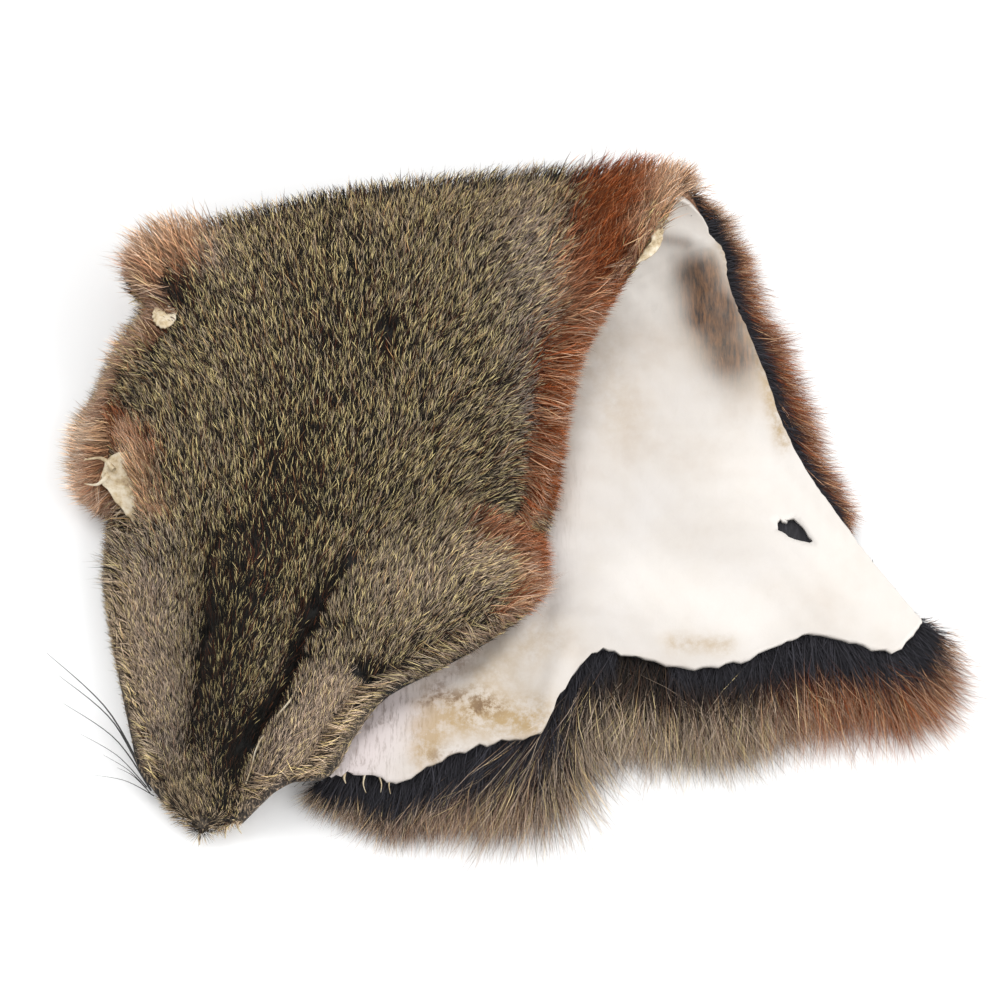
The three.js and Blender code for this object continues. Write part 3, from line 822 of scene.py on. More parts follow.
# Long hairs with pale tips, salmon where the fur is rust.
PALE_AREAS = [
    (34.0, 63.0, 39.0, 68.0, 6.0, 0.45),
    (27.0, 52.0, 33.0, 62.0, 3.0, 0.5),
    (-76.0, 55.0, -68.0, 50.0, 7.5, 0.95),
    (-50.0, 50.0, 0.0, 58.0, 7.0, 0.25),
    (4.0, 58.0, 8.0, 40.0, 6.0, 0.4),
    (-84.0, 28.0, -77.0, 30.0, 5.5, 0.9),
    (-88.0, 16.0, -82.0, 16.5, 5.0, 1.1),
    (-86.5, 10.0, -82.5, -3.0, 5.4, 1.1),
    (-72.0, 12.0, -70.0, 5.0, 2.2, 0.6),
    (-69.0, 4.0, -66.5, -7.0, 3.0, 0.7),
    (-9.5, -17.5, 0.0, -19.0, 2.6, 0.6),
    (-32.5, -46.0, -42.5, -62.0, 6.0, 1.2),
    (-71.0, -22.0, -67.0, -46.0, 5.4, 0.85),
    (-20.0, -26.0, -8.0, -20.0, 8.0, 0.4),
    (-60.0, 52.0, -57.0, 47.0, 4.0, 0.5),
    (-63.0, -60.0, -56.0, -68.0, 5.0, 0.45),
    (-52.0, -62.0, -50.0, -66.0, 3.0, 0.5),
]


def furrow_share(station, x, y):
    """How much of the coat's depth a furrow of the head half takes."""
    return np.where(station < 1, np.clip(patches(FURROWS, x, y), 0, DEEPEST_FURROW), 0)


def coat_depth(station, x, y):
    """How thick the fur lies, with its lumps and furrows."""
    depth = lerp(HEAD_COAT, BACK_COAT, smooth((station - FACE_END) / (NAPE - FACE_END)))
    lumps = LUMP_HEIGHT * np.sin(0.42 * x + 0.3 * y) * np.sin(0.37 * y - 0.12 * x)
    lumps += SMALL_LUMP_HEIGHT * np.sin(0.9 * x) * np.sin(0.8 * y + 1)
    return (depth + lumps * depth / BACK_COAT) * (1 - furrow_share(station, x, y))


def row_length(station):
    return np.linalg.norm(hide_middle(1.0, station) - hide_middle(0.0, station), axis=-1)


def underfur_fill(station):
    """How much of the coat's depth is underfur: all of it where the rump half presses on the table."""
    return lerp(UNDERFUR_SHARE, 1.0, smooth((station - 1.6) / 0.4))


def fur_kind(x, y):
    """What colour the fur has at each place, with painted shade in the creases, for the materials."""
    areas = {"rust": RUST_AREAS, "dark": DARK_FUR_AND_CREASE_SHADE, "grey": GREY_AREAS, "pale": PALE_AREAS}
    kind = {name: np.clip(patches(table, x, y), 0, 1) for name, table in areas.items()}
    kind["dark"] -= 0.75 * kind["pale"]
    return kind


fur_stations = np.concatenate([
    np.linspace(0, 1, UNDERFUR_ROWS[0], endpoint=False),
    np.linspace(1, 2, UNDERFUR_ROWS[1], endpoint=False),
    np.linspace(2, RUMP_FUR_END, UNDERFUR_ROWS[2]),
])
fur_shares = np.linspace(0, 1, UNDERFUR_COLUMNS)
fur_station, fur_share = np.meshgrid(fur_stations, fur_shares, indexing="ij")
overhang = lerp(UNDERFUR_OVERHANG, -UNDERFUR_INSET_BELOW, smooth(fur_station - 1))
overhang /= row_length(fur_stations)[:, None]
fur_across = lerp(-overhang, 1 + overhang, fur_share)
at_rim = (fur_share == 0) | (fur_share == 1)
base = hide_middle(fur_across, fur_station)
fur_up = np.where(at_rim[..., None], rim_normal(fur_station), fur_normal(fur_across, fur_station))
inner = base + fur_up * (HIDE_THICKNESS / 2 + UNDERFUR_GAP)
filled = np.where(at_rim | (fur_station == 0), UNDERFUR_RIM, underfur_fill(fur_station))
outer = inner + fur_up * (coat_depth(fur_station, base[..., 0], base[..., 1]) * filled)[..., None]
pressed = np.where(at_rim, PRESSED_RIM_LEVEL, PRESSED_LEVEL)
outer[..., 2] = np.where(fur_station >= 2, pressed, np.maximum(outer[..., 2], PRESSED_LEVEL))
inner[..., 2] = np.maximum(inner[..., 2], outer[..., 2] * (fur_station >= 2))
underfur_points = np.concatenate([outer.reshape(-1, 3), inner.reshape(-1, 3)])
underfur = new_mesh("underfur", underfur_points, [sheet_polygons(len(fur_stations), len(fur_shares))])
shade_smooth(underfur)
underfur_kind = fur_kind(underfur_points[:, 0], underfur_points[:, 1])
mark(underfur, **underfur_kind, slate=np.tile((fur_station.ravel() > 2) * 1.0, 2))

# Colours along a hair, from its root at 0 to its tip at 1: place, red, green, blue.
BANDED_HAIR = [
    (0.00, 0.012, 0.010, 0.009),
    (0.44, 0.050, 0.040, 0.030),
    (0.58, 0.360, 0.275, 0.175),
    (0.84, 0.620, 0.500, 0.345),
    (0.93, 0.160, 0.120, 0.085),
    (1.00, 0.030, 0.021, 0.016),
]
OLIVE_HAIR = [
    (0.00, 0.010, 0.008, 0.005),
    (0.46, 0.045, 0.032, 0.018),
    (0.60, 0.320, 0.255, 0.115),
    (0.84, 0.540, 0.450, 0.220),
    (0.92, 0.130, 0.105, 0.050),
    (1.00, 0.020, 0.015, 0.010),
]
BLACK_HAIR = [
    (0.00, 0.006, 0.0055, 0.005),
    (0.60, 0.013, 0.012, 0.0105),
    (1.00, 0.040, 0.035, 0.029),
]
RUST_HAIR = [
    (0.00, 0.016, 0.006, 0.003),
    (0.35, 0.085, 0.017, 0.004),
    (0.74, 0.250, 0.055, 0.012),
    (0.92, 0.410, 0.120, 0.032),
    (1.00, 0.620, 0.330, 0.180),
]
SALMON_HAIR = [
    (0.00, 0.160, 0.096, 0.062),
    (0.35, 0.440, 0.235, 0.126),
    (0.75, 0.740, 0.470, 0.275),
    (1.00, 0.920, 0.800, 0.660),
]
PALE_TINT = (1.5, 1.43, 1.37, 1)
GREY_TINT = (1.0, 1.02, 1.25, 1)
SLATE = (0.031, 0.030, 0.036, 1)
# Each hair has a tone from 0 to 1. Low tones are black hairs, and the highest are olive.
OLIVE_FROM = 0.78
BLACK_BELOW = 0.48
BLACK_LESS_IN_GREY = 0.26
BLACK_MORE_IN_DARK = 0.52
SLATE_FADE = 0.22
# How bright a hair of each tone is.
STRENGTH_BY_TONE = [
    (0.00, 0.45, 0.45, 0.45),
    (0.50, 0.60, 0.60, 0.60),
    (0.75, 1.15, 1.15, 1.15),
    (1.00, 2.20, 2.20, 2.20),
]

fur_group = bpy.data.node_groups.new("Fur colour", "ShaderNodeTree")
for name in ("Along", "Tone", "Rust", "Dark", "Grey", "Pale", "Slate"):
    fur_group.interface.new_socket(name, in_out="INPUT", socket_type="NodeSocketFloat")
fur_group.interface.new_socket("Color", in_out="OUTPUT", socket_type="NodeSocketColor")
group_in = fur_group.nodes.new("NodeGroupInput").outputs
group_out = fur_group.nodes.new("NodeGroupOutput").inputs
banded, olive, black, rusty, salmon = (
    ramp(fur_group, group_in["Along"], colours)
    for colours in (BANDED_HAIR, OLIVE_HAIR, BLACK_HAIR, RUST_HAIR, SALMON_HAIR)
)
rusty = mixed(fur_group, group_in["Pale"], rusty, salmon)
is_olive = number(fur_group, "GREATER_THAN", group_in["Tone"], OLIVE_FROM)
banded = mixed(fur_group, is_olive, banded, olive)
banded = mixed(fur_group, group_in["Pale"], banded, mixed(fur_group, 1.0, banded, PALE_TINT, "MULTIPLY"))
banded = mixed(fur_group, group_in["Grey"], banded, mixed(fur_group, 1.0, banded, GREY_TINT, "MULTIPLY"))
# The Dark input turns more hairs black, for darker fur and for painted shade in the creases.
limit = number(fur_group, "MULTIPLY_ADD", group_in["Grey"], -BLACK_LESS_IN_GREY, BLACK_BELOW)
limit = number(fur_group, "MULTIPLY_ADD", group_in["Dark"], BLACK_MORE_IN_DARK, limit)
is_black = number(fur_group, "LESS_THAN", group_in["Tone"], limit)
coat_colour = mixed(fur_group, is_black, banded, black)
coat_colour = mixed(fur_group, group_in["Rust"], coat_colour, rusty)
past_slate = number(fur_group, "SUBTRACT", group_in["Along"], group_in["Slate"])
past_slate = ramp(fur_group, past_slate, [(0.0, 0, 0, 0), (SLATE_FADE, 1, 1, 1)])
slated = mixed(fur_group, past_slate, SLATE, coat_colour)
has_slate = number(fur_group, "GREATER_THAN", group_in["Slate"], 0.01)
coat_colour = mixed(fur_group, has_slate, coat_colour, slated)
strength = ramp(fur_group, group_in["Tone"], STRENGTH_BY_TONE)
coat_colour = mixed(fur_group, 1.0, coat_colour, strength, "MULTIPLY")
fur_group.links.new(coat_colour, group_out["Color"])


def fur_colour(tree, along, tone):
    """The fur's colour group, fed by the marks on the mesh."""
    marks = {name: attribute(tree, name.lower()) for name in ("Rust", "Dark", "Grey", "Pale", "Slate")}
    group = add(tree, "ShaderNodeGroup", {"node_tree": fur_group}, Along=along, Tone=tone, **marks)
    return group.outputs["Color"]


wool, tree, shader = new_material("dark underfur", 0.9)
position = add(tree, "ShaderNodeTexCoord").outputs["Object"]
stretched = add(tree, "ShaderNodeMapping", Vector=position, Scale=(1.0, 0.22, 1.0)).outputs["Vector"]
hairs = noise(tree, stretched, 2600)
wool_along = number(tree, "MULTIPLY", hairs, 0.85)
wool_colour = fur_colour(tree, wool_along, noise(tree, stretched, 1700, 1))
wool_bump = add(tree, "ShaderNodeBump", Strength=0.6, Distance=0.0005, Height=hairs)
tree.links.new(wool_colour, shader.inputs["Base Color"])
tree.links.new(wool_bump.outputs["Normal"], shader.inputs["Normal"])
underfur.data.materials.append(wool)
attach(underfur, "root")
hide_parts("coat")


# Fur of the head, back and fold
# Short banded hairs, pale near the tip and dark at the root, grow back from the nose and over the fold.
# On the flanks they are longer, soft and rust red, and reach past the skin.
# Direction of the hair, anticlockwise from +X. Columns: x, y, degrees.
FLOW = np.array([
    [-56.6, -69.4, 100], [-64.9, -53.3, 105], [-71.5, -34.8, 115], [-75.5, -15.8, 125], [-62.3, -24.3, 80],
    [-47.8, -49.3, 75], [-44.5, -32.7, 75], [-51.1, -11.5, 95], [-59.5, 1.6, 100], [-70.0, 12.6, 110],
    [-39.6, -2.8, 92], [-40.5, 30.7, 100], [-56.9, 35.3, 115], [-67.5, 46.9, 130], [-74.1, 56.3, 130],
    [-24.1, 19.4, 88], [-30.8, 53.9, 97], [-14.3, 42.2, 75], [-4.0, 30.7, 60], [8.2, 42.2, 35],
    [4.1, 61.0, 50], [20.7, 61.0, 35], [31.2, 66.0, 62], [29.0, 52.0, 72], [33.0, 58.0, 66],
    [26.0, 49.0, 65], [12.1, 19.4, 10], [15.2, 35.3, 5], [8.9, 3.8, -35], [8.0, -5.0, -60],
    [12.0, 12.0, -12], [-6.0, 8.2, 45], [-15.8, -2.8, 62], [-5.9, -7.1, 40], [-15.6, -24.3, 70],
    [-3.9, -17.9, 30], [3.9, -20.0, 0], [-11.6, -32.7, 45], [-23.2, -36.9, 70], [-30.6, -49.3, 75],
    [-37.9, -61.4, 55], [-29.0, -34.8, 85], [-82.0, 12.6, 160], [-83.2, -0.6, 200], [-74.9, 30.7, 140],
    [-76.6, 23.9, 150], [-13.5, -39.0, 18],
])
# Columns: piece, from station, to station, hairs.
FUR_AREAS = [
    ("fur_of_the_face", 0.0, 0.34, 58000),
    ("fur_of_the_shoulders", 0.34, 0.66, 60000),
    ("fur_of_the_back", 0.66, 1.0, 62000),
    ("fur_over_the_fold", 1.0, 2.3, 20000),
]
HAIR_WIDTH = 0.17
BACK_HAIR = 5.2
FACE_HAIR = 3.3
RUST_LENGTHENING = 0.3
SIDE_SHORTENING = 0.45
HAIR_RISE = math.radians(26)
HAIR_SWAY = 0.24
HAIR_ROLL = 0.8
# How wide a band along each side edge has its hair turned outwards.
SIDE_BAND = 2.5
SCATTER_CELLS = 90
LOWEST_HAIR = 0.08


def overhung(share, station):
    """The place across the hide, where shares 0 and 1 are the rims of the fur."""
    reach = UNDERFUR_OVERHANG / row_length(station)
    return lerp(-reach, 1 + reach, share)


def scatter(low, high, count, rng):
    """Random places, spread evenly over the hide between two stations."""
    station_edges = np.linspace(low, high, SCATTER_CELLS + 1)
    share_edges = np.linspace(0, 1, SCATTER_CELLS + 1)
    corners = hide_middle(overhung(share_edges[None, :], station_edges[:, None]), station_edges[:, None])
    down = corners[1:, :-1] - corners[:-1, :-1]
    right = corners[:-1, 1:] - corners[:-1, :-1]
    area = np.linalg.norm(np.cross(down, right), axis=-1).ravel()
    reached = np.cumsum(area) / area.sum()
    cell = np.searchsorted(reached, (np.arange(count) + rng.random(count)) / count)
    cell = np.minimum(cell, len(area) - 1)
    row, column = np.divmod(cell, SCATTER_CELLS)
    station = station_edges[row] + rng.random(count) * (station_edges[1] - station_edges[0])
    share = share_edges[column] + rng.random(count) * (share_edges[1] - share_edges[0])
    return overhung(share, station), station


def flow_angle(x, y):
    """The hair's direction in plan, in radians, between the measured places."""
    distance = (x[:, None] - FLOW[None, :, 0]) ** 2 + (y[:, None] - FLOW[None, :, 1]) ** 2
    weight = 1 / (distance + 12) ** 2
    angles = np.radians(FLOW[:, 2])
    return np.arctan2((weight * np.sin(angles)).sum(1), (weight * np.cos(angles)).sum(1))


def along_surface(outward, angle):
    """Directions in the surface at an angle from its own +X."""
    side = unit(np.array([1.0, 0, 0]) - outward * outward[:, :1])
    ahead = np.cross(outward, side)
    return side * np.cos(angle)[:, None] + ahead * np.sin(angle)[:, None]


def over_rump(x, y):
    """Where in plan the rump half lies below: 1 over it and 0 past its edges."""
    by_height = RUMP_HALF[np.argsort(RUMP_HALF[:, 3])]
    right_edge_x = np.interp(y, by_height[:, 3], by_height[:, 2])
    left_of_edge = (x < right_edge_x) & (y <= by_height[-1, 3])
    return smooth((x - hidden_edge_x(y) - 2) / 2) * left_of_edge


def strands(
    name, roots, outward, heading, length, rise, width, rng,
    segments, fall, bend, gather, gather_every, over_hide, tones, start,
):
    """Tapered hairs as narrow ribbons. Each has its own cell in the map used for baking.

    A hair bends to its side, falls along its length, and leans to the tip of a leader nearby.
    """
    count = len(roots)
    side = np.cross(outward, heading)
    curve = rng.normal(0, bend, count)
    share = np.linspace(0, 1, segments + 1)[:, None, None]
    climb = (share - fall * share**2 / 2) * (length * np.sin(rise))[:, None]
    centre = roots + heading * (share * (length * np.cos(rise))[:, None]) + outward * climb
    centre = centre + side * (share**2 * (curve * length)[:, None])
    leaders = np.arange(0, count, gather_every)
    tree = KDTree(len(leaders))
    for index, leader in enumerate(leaders):
        tree.insert(roots[leader], index)
    tree.balance()
    nearest = leaders[np.array([tree.find(root)[1] for root in roots])]
    centre = centre + (share**2) * gather * (centre[-1][nearest] - centre[-1])
    turn = rng.uniform(-HAIR_ROLL, HAIR_ROLL, count)[:, None]
    flat = side * np.cos(turn) + outward * np.sin(turn)
    taper = width[:, None] * (1 - 0.75 * share[:-1] ** 2) / 2
    ribbon = np.stack([centre[:-1] - flat * taper, centre[:-1] + flat * taper], 2)
    ribbon = ribbon.transpose(1, 0, 2, 3).reshape(count, -1, 3)
    points = np.concatenate([ribbon, centre[-1][:, None, :]], 1)
    lowest = np.full(points.shape[:2], LOWEST_HAIR)
    if over_hide:
        x, y = points[..., 0], points[..., 1]
        lowest += over_rump(x, y) * (LOWER_LEVEL + HIDE_THICKNESS / 2 + patches(RUMP_RIDGES, x, y))
    points[..., 2] = np.maximum(points[..., 2], lowest)
    per_hair = 2 * segments + 1
    first = (np.arange(count) * per_hair)[:, None, None]
    step = (2 * np.arange(segments - 1))[None, :, None]
    quads = (first + step + np.array([0, 1, 3, 2])).reshape(-1, 4)
    tips = (first[:, 0] + np.array([2 * segments - 2, 2 * segments - 1, 2 * segments])).reshape(-1, 3)
    made = new_mesh(name, points.reshape(-1, 3), [quads, tips])
    cells = math.ceil(math.sqrt(count))
    row, column = np.divmod(np.arange(count), cells)
    u_side = np.append(np.tile([0.2, 0.8], segments), 0.5)
    v_side = np.append(np.repeat(np.linspace(0.1, 0.9, segments + 1)[:-1], 2), 0.9)
    u = ((column[:, None] + u_side) / cells).ravel()
    v = ((row[:, None] + v_side) / cells).ravel()
    layer = made.data.uv_layers.new(name="OFBake")
    corner = np.empty(len(made.data.loops), np.int32)
    made.data.loops.foreach_get("vertex_index", corner)
    layer.data.foreach_set("uv", np.column_stack([u[corner], v[corner]]).astype(np.float32).ravel())
    along = np.append(np.repeat(np.linspace(0, 1, segments + 1)[:-1], 2), 1.0)
    start = np.broadcast_to(start, count)[:, None]
    mark(
        made, along=lerp(start, 1, along[None, :]) * rng.uniform(0.86, 1.14, count)[:, None],
        tone=np.repeat(rng.uniform(*tones, count), per_hair),
    )
    return made, per_hair


fur, tree, shader = new_material("banded fur", 0.7)
shader.inputs["Specular IOR Level"].default_value = 0.15
banded_fur_colour = fur_colour(tree, attribute(tree, "along"), attribute(tree, "tone"))
tree.links.new(banded_fur_colour, shader.inputs["Base Color"])


def finish_fur(made, kind, per_hair, slate=0.0, node=None):
    """Marks, material and frame calls of a piece of fur."""
    count = len(made.data.vertices) // per_hair
    mark(made, slate=np.repeat(np.broadcast_to(slate, count), per_hair))
    mark(made, **{name: np.repeat(numbers, per_hair) for name, numbers in kind.items()})
    made.data.materials.append(fur)
    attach(made, "root")
    if node:
        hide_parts(node)


for seed, (name, low, high, count) in enumerate(FUR_AREAS):
    rng = np.random.default_rng(100 + seed)
    across, station = scatter(low, high, count, rng)
    middle = hide_middle(across, station)
    beyond = (across < 0) | (across > 1)
    outward = np.where(beyond[:, None], rim_normal(station), fur_normal(across, station))
    x, y = middle[:, 0], middle[:, 1]
    depth = coat_depth(station, x, y) * underfur_fill(station)
    depth *= lerp(0.5, 1, smooth(np.minimum(across, 1 - across) * 30))
    root = middle + outward * (HIDE_THICKNESS / 2 + depth * rng.uniform(0.55, 1, count))[:, None]
    kind = fur_kind(x, y)
    kind["rust"] = np.clip((kind["rust"] - rng.random(count)) * 3 + 0.5, 0, 1)
    on_face = 1 - smooth((station - FACE_END) / (NAPE - FACE_END))
    length = lerp(BACK_HAIR, FACE_HAIR, on_face) * rng.uniform(0.8, 1.15, count)
    length *= 1 + RUST_LENGTHENING * kind["rust"]
    angle = flow_angle(x, y + 4 * np.maximum(station - 1, 0))
    angle = np.where(station > 2, math.radians(92), angle) + rng.normal(0, HAIR_SWAY, count)
    heading = along_surface(outward, angle)
    to_right = unit(hide_middle(across + NORMAL_STEP, station) - hide_middle(across - NORMAL_STEP, station))
    # At the side edges hair turns outwards, and at the mouth it turns forwards.
    from_side = np.minimum(across, 1 - across) * row_length(station)
    at_side = smooth(1 - from_side / SIDE_BAND) * np.sign(across - 0.5)
    to_back = np.cross(outward, to_right)
    at_mouth = smooth(1 - station / 0.03)
    outwards = np.where((across > 0.5) & (station < 0.46), 0.15, 0.7)
    heading = unit(heading + to_right * (outwards * at_side)[:, None] - to_back * (1.6 * at_mouth)[:, None])
    kind["dark"] = kind["dark"] - 0.5 * np.abs(at_side)
    shortened = np.where(across > 0.5, station < 0.92, station < 0.4)
    length *= 1 - SIDE_SHORTENING * np.abs(at_side) * shortened
    # Round the fold the coat opens, and its hair stands up more and shows more of its length.
    opened = smooth((station - 0.86) / 0.14) * (1 - smooth((station - 1.5) / 0.4))
    rise = HAIR_RISE * rng.uniform(0.6, 1.4, count) * lerp(1, 0.7, on_face) * (1 + 0.9 * opened)
    length *= 1 + (0.2 + 0.4 * kind["rust"]) * opened
    width = HAIR_WIDTH * lerp(1, 0.65, on_face) * rng.uniform(0.75, 1.2, count)
    length *= 1 - 0.6 * furrow_share(station, x, y)
    made, per_hair = strands(
        name, root, outward, heading, length, rise, width, rng,
        segments=2, fall=0.75, bend=0.14, gather=0.1, gather_every=5, over_hide=high <= 1,
        tones=(0.13 * on_face, 1 - 0.13 * on_face), start=0.5 * np.abs(at_side) * (station < 1),
    )
    finish_fur(made, kind, per_hair)


# Hair past the edges
# Long soft hair that reaches past the cut edges of the skin, slate at the root and brown or rust further out.
# It lies on the table round the rump, and hangs over the white leather at the right flank.
# Places run along an edge: shares across for the rump, and stations for the side edges.
# Columns: place, degrees in plan anticlockwise from +X, length, share of slate, rust.
RUMP_FRINGE = np.array([
    [0.00, -128, 9, 0.55, 0.15],
    [0.06, -112, 13, 0.55, 0.25],
    [0.20, -104, 18, 0.55, 0.30],
    [0.30, -101, 25, 0.48, 0.30],
    [0.38, -98, 30, 0.40, 0.20],
    [0.45, -95, 33, 0.18, 0.05],
    [0.50, -93, 30, 0.22, 0.00],
    [0.56, -92, 29, 0.12, 0.00],
    [0.70, -84, 27, 0.22, 0.10],
    [0.76, -80, 28, 0.30, 0.50],
    [0.82, -74, 30, 0.30, 0.85],
    [0.92, -62, 26, 0.30, 0.80],
    [1.00, -38, 14, 0.45, 0.60],
])
FLANK_FRINGE = np.array([
    [1.60, 42, 8, 0.40, 0.70],
    [2.00, 28, 11, 0.35, 0.60],
    [2.12, 4, 10, 0.32, 0.70],
    [2.30, -12, 13, 0.28, 0.85],
    [2.50, -22, 14, 0.28, 0.85],
    [2.70, -30, 10, 0.32, 0.85],
    [2.765, -34, 3, 0.60, 0.60],
    [2.80, -36, 0.9, 1.00, 0.10],
    [2.93, -32, 0.8, 1.00, 0.10],
    [2.97, -28, 3, 0.60, 0.40],
    [3.00, -20, 9, 0.50, 0.70],
])
BACK_FLANK = np.array([
    [0.06, -20, 1.4, 0.0, 0.0],
    [0.18, 10, 2.0, 0.0, 0.0],
    [0.26, 5, 2.6, 0.0, 0.0],
    [0.34, -25, 3.2, 0.0, 0.0],
    [0.405, -30, 3.2, 0.0, 0.2],
    [0.425, 15, 8.5, 0.0, 1.0],
    [0.455, 28, 9.5, 0.0, 1.0],
    [0.475, 10, 4.5, 0.1, 1.0],
    [0.495, 0, 3.0, 0.2, 1.0],
    [0.52, -5, 2.5, 0.2, 1.0],
    [0.545, -10, 1.0, 0.2, 1.0],
    [0.59, -50, 1.5, 0.1, 1.0],
    [0.66, -30, 4.6, 0.1, 1.0],
    [0.74, -12, 6.0, 0.1, 1.0],
    [0.82, 5, 5.6, 0.1, 1.0],
    [0.90, 62, 2.5, 0.1, 0.6],
    [1.00, 60, 4.0, 0.2, 1.0],
    [1.25, 45, 6.0, 0.3, 1.0],
    [1.60, 40, 7.0, 0.4, 0.8],
])
LEFT_CHEEK = np.array([
    [0.05, 140, 1.5, 0.0, 0.0],
    [0.16, 132, 2.4, 0.0, 0.0],
    [0.26, 132, 3.4, 0.0, 0.0],
    [0.34, 145, 5.0, 0.0, 0.0],
    [0.42, 190, 4.5, 0.0, 0.1],
])
LEFT_FLANK = np.array([
    [0.42, 214, 4, 0.3, 0.4],
    [0.50, 205, 6, 0.3, 0.9],
    [0.58, 190, 5, 0.2, 1.0],
    [0.66, 165, 5, 0.2, 0.7],
    [0.76, 140, 4, 0.3, 0.5],
    [0.84, 150, 5, 0.5, 0.4],
    [0.92, 140, 9.5, 0.4, 0.9],
    [1.00, 128, 9.5, 0.2, 1.0],
])
FINE_HAIR = 0.115
# Long stiff guard hairs stand among the shorter ones.
GUARD_SHARE = 0.3
EDGE_SPREAD = 17
EDGE_BEND = 0.26
EDGE_RISE = 0.12
EDGE_RISE_SPREAD = 0.07
# How far in from the edge hair grows in each half, and how far off the hide: lowest layer, highest layer.
HEAD_ROOTS_IN = 4.2
HEAD_ROOT_DEPTHS = (0.6, 3.4)
RUMP_ROOTS_IN = 2.6
RUMP_ROOT_DEPTHS = (4.2, 0.7)


def rump_line(share):
    """Places on the rump's edge, and the way its fur faces."""
    station = np.full_like(share, 3.0)
    return hide_middle(share, station), rim_normal(station)


def right_line(station):
    return hide_middle(1.0, station), rim_normal(station)


def left_line(station):
    return hide_middle(0.0, station), rim_normal(station)


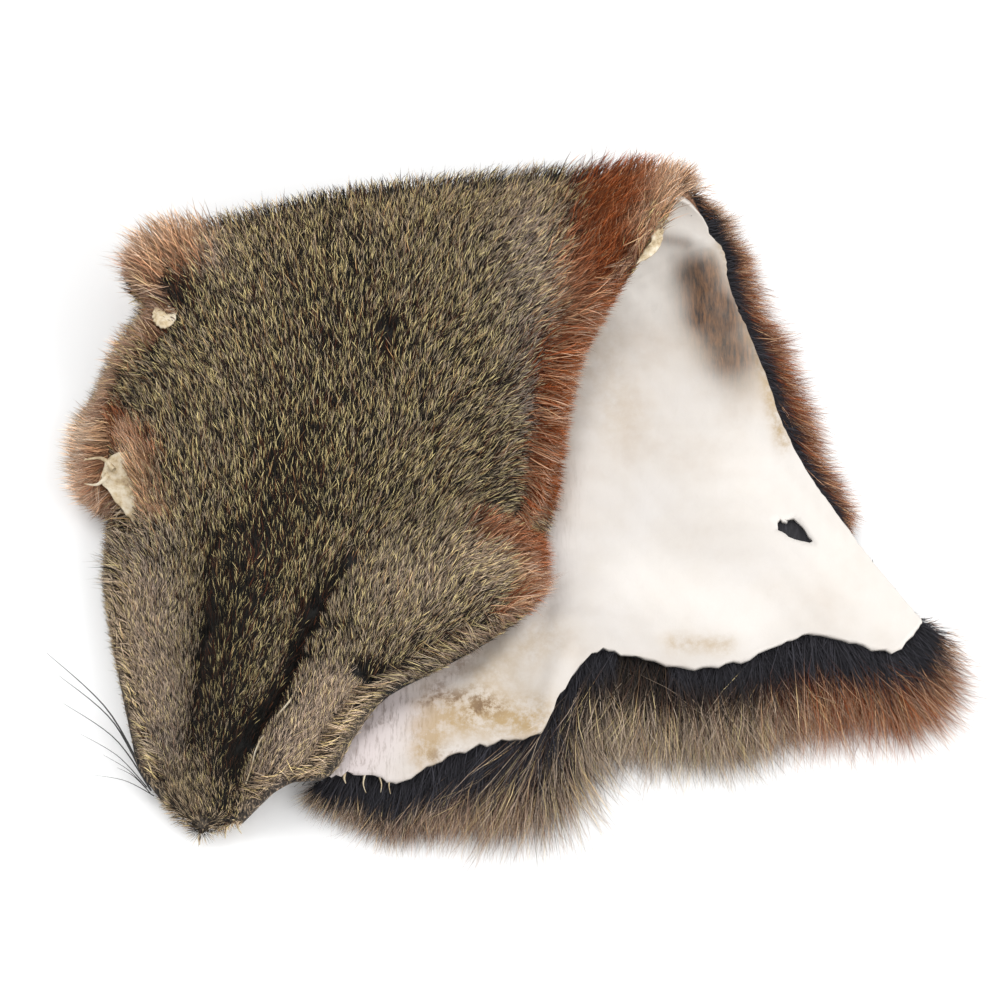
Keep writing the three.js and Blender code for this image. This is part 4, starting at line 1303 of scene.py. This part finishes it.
def edge_hairs(name, edge, table, count, seed, node, slot, tip_level):
    """Hair rooted under an edge of the hide, in the directions and lengths of a table.

    With a tip level it grows down from the rump half, and its highest tips end there.
    Without one it grows on the head half, and lies over what is below.
    """
    over_hide = tip_level is None
    rng = np.random.default_rng(seed)
    line = np.linspace(table[0, 0], table[-1, 0], 400)
    steps = np.linalg.norm(np.diff(edge(line)[0], axis=0), axis=1)
    reached = np.concatenate([[0], np.cumsum(steps)]) / steps.sum()
    place = np.interp((np.arange(count) + rng.random(count)) / count, reached, line)
    root, fur_faces = edge(place)
    degrees, length, slate, rust = [np.interp(place, table[:, 0], table[:, column]) for column in range(1, 5)]
    x, y = root[:, 0], root[:, 1]
    sway = 8 * np.sin(x * 0.7 + y * 0.5) + 6 * np.sin(x * 0.23 - y * 0.31 + 1)
    angle = np.radians(degrees + rng.normal(0, EDGE_SPREAD, count) + sway)
    outward = np.tile([0.0, 0, 1], (count, 1))
    heading = np.column_stack([np.cos(angle), np.sin(angle), np.zeros(count)])
    back = rng.uniform(0.2, HEAD_ROOTS_IN if over_hide else RUMP_ROOTS_IN, count)
    root = root - heading * back[:, None]
    layer = rng.random(count)
    lift = lerp(*(HEAD_ROOT_DEPTHS if over_hide else RUMP_ROOT_DEPTHS), layer)
    if over_hide:
        lift = lift * np.interp(place, [FACE_END, NAPE], [HEAD_COAT / BACK_COAT, 1]) + 0.5 * back
    root += fur_faces * lift[:, None]
    guard = rng.random(count) < GUARD_SHARE
    slate_reach = slate * length * rng.uniform(0.75, 1.2, count) + back * (not over_hide)
    length = length * np.where(guard, rng.uniform(0.7, 1.1, count), rng.uniform(0.35, 0.8, count)) + back
    if over_hide:
        rise = np.full(count, EDGE_RISE)
    else:
        drop = (root[:, 2] - tip_level * layer - 0.3) / length
        rise = -np.arcsin(np.clip(drop, -0.5, 0.8)) * 0.7
    rise += rng.normal(0, EDGE_RISE_SPREAD, count)
    width = FINE_HAIR * np.where(guard, rng.uniform(0.7, 1.0, count), rng.uniform(1.0, 1.7, count))
    made, per_hair = strands(
        name, root, outward, heading, length, rise, width, rng,
        segments=3, fall=0.9 if over_hide else -0.6, bend=EDGE_BEND, gather=0.42, gather_every=22,
        over_hide=over_hide, tones=(0.24, 0.88), start=0.45 * over_hide,
    )
    bleached = rust / 2 if over_hide else 0.35
    pale = patches(PALE_AREAS, root[:, 0], root[:, 1])
    kind = {
        "rust": np.clip(rust + rng.normal(0, 0.15, count), 0, 1),
        "dark": np.where(guard, 0.0, 0.25),
        "grey": np.where((rust < 0.3) & over_hide, 0.3, 0.6),
        "pale": np.clip(pale + 0.5 * (rng.random(count) < bleached), 0, 1),
    }
    slate = np.clip(slate_reach / length - 0.08, 0, 1) * (slate > 0.15)
    finish_fur(made, kind, per_hair, slate, node)


# Columns: piece, edge, its table, hairs, seed, node, slot, level of the highest tips for the rump half.
EDGE_FUR = [
    ("hair_at_the_rump", rump_line, RUMP_FRINGE, 24000, 7, "fringe_rump", "rump_fur", 2.0),
    ("hair_at_the_rump_flank", right_line, FLANK_FRINGE, 10000, 8, "fringe_rump_flank", "rust_fur", 2.5),
    ("hair_at_the_back_flank", right_line, BACK_FLANK, 7500, 9, "fringe_back_flank", "rust_fur", None),
    ("hair_at_the_left_cheek", left_line, LEFT_CHEEK, 2600, 12, None, "grizzled_fur", None),
    ("hair_at_the_left_flank", left_line, LEFT_FLANK, 8000, 10, "fringe_left_flank", "rust_fur", None),
]
for row in EDGE_FUR:
    edge_hairs(*row)


# Whiskers
# Stiff dark hairs at the left of the muzzle, each a slender tapered bristle that curves away.
# Columns: root x, y, z, tip x, y, z, bow to the side, thickness.
WHISKERS = [
    (-67.7, -59.2, 3.0, -88.2, -34.1, 9.0, 2.6, 0.46),
    (-68.4, -58.2, 3.2, -85.9, -38.0, 7.0, 2.4, 0.42),
    (-67.2, -60.2, 2.6, -84.7, -43.5, 6.0, 2.2, 0.36),
    (-68.0, -59.6, 2.8, -80.7, -50.6, 8.0, 1.2, 0.24),
    (-66.6, -61.2, 2.4, -78.4, -57.5, 4.0, 1.0, 0.2),
    (-67.4, -60.6, 2.4, -76.6, -53.7, 5.0, 0.8, 0.22),
    (-68.2, -59.9, 3.4, -73.6, -56.7, 6.0, 0.5, 0.24),
]
whiskers = tapered("whiskers", *bowed(WHISKERS))
bristle, tree, shader = new_material("whisker", 0.4)
variation = noise(tree, add(tree, "ShaderNodeTexCoord").outputs["Object"], 300)
bristle_colour = ramp(tree, variation, [(0.3, 0.010, 0.009, 0.010), (0.7, 0.03, 0.027, 0.026)])
tree.links.new(bristle_colour, shader.inputs["Base Color"])
whiskers.data.materials.append(bristle)
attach(whiskers, "root")
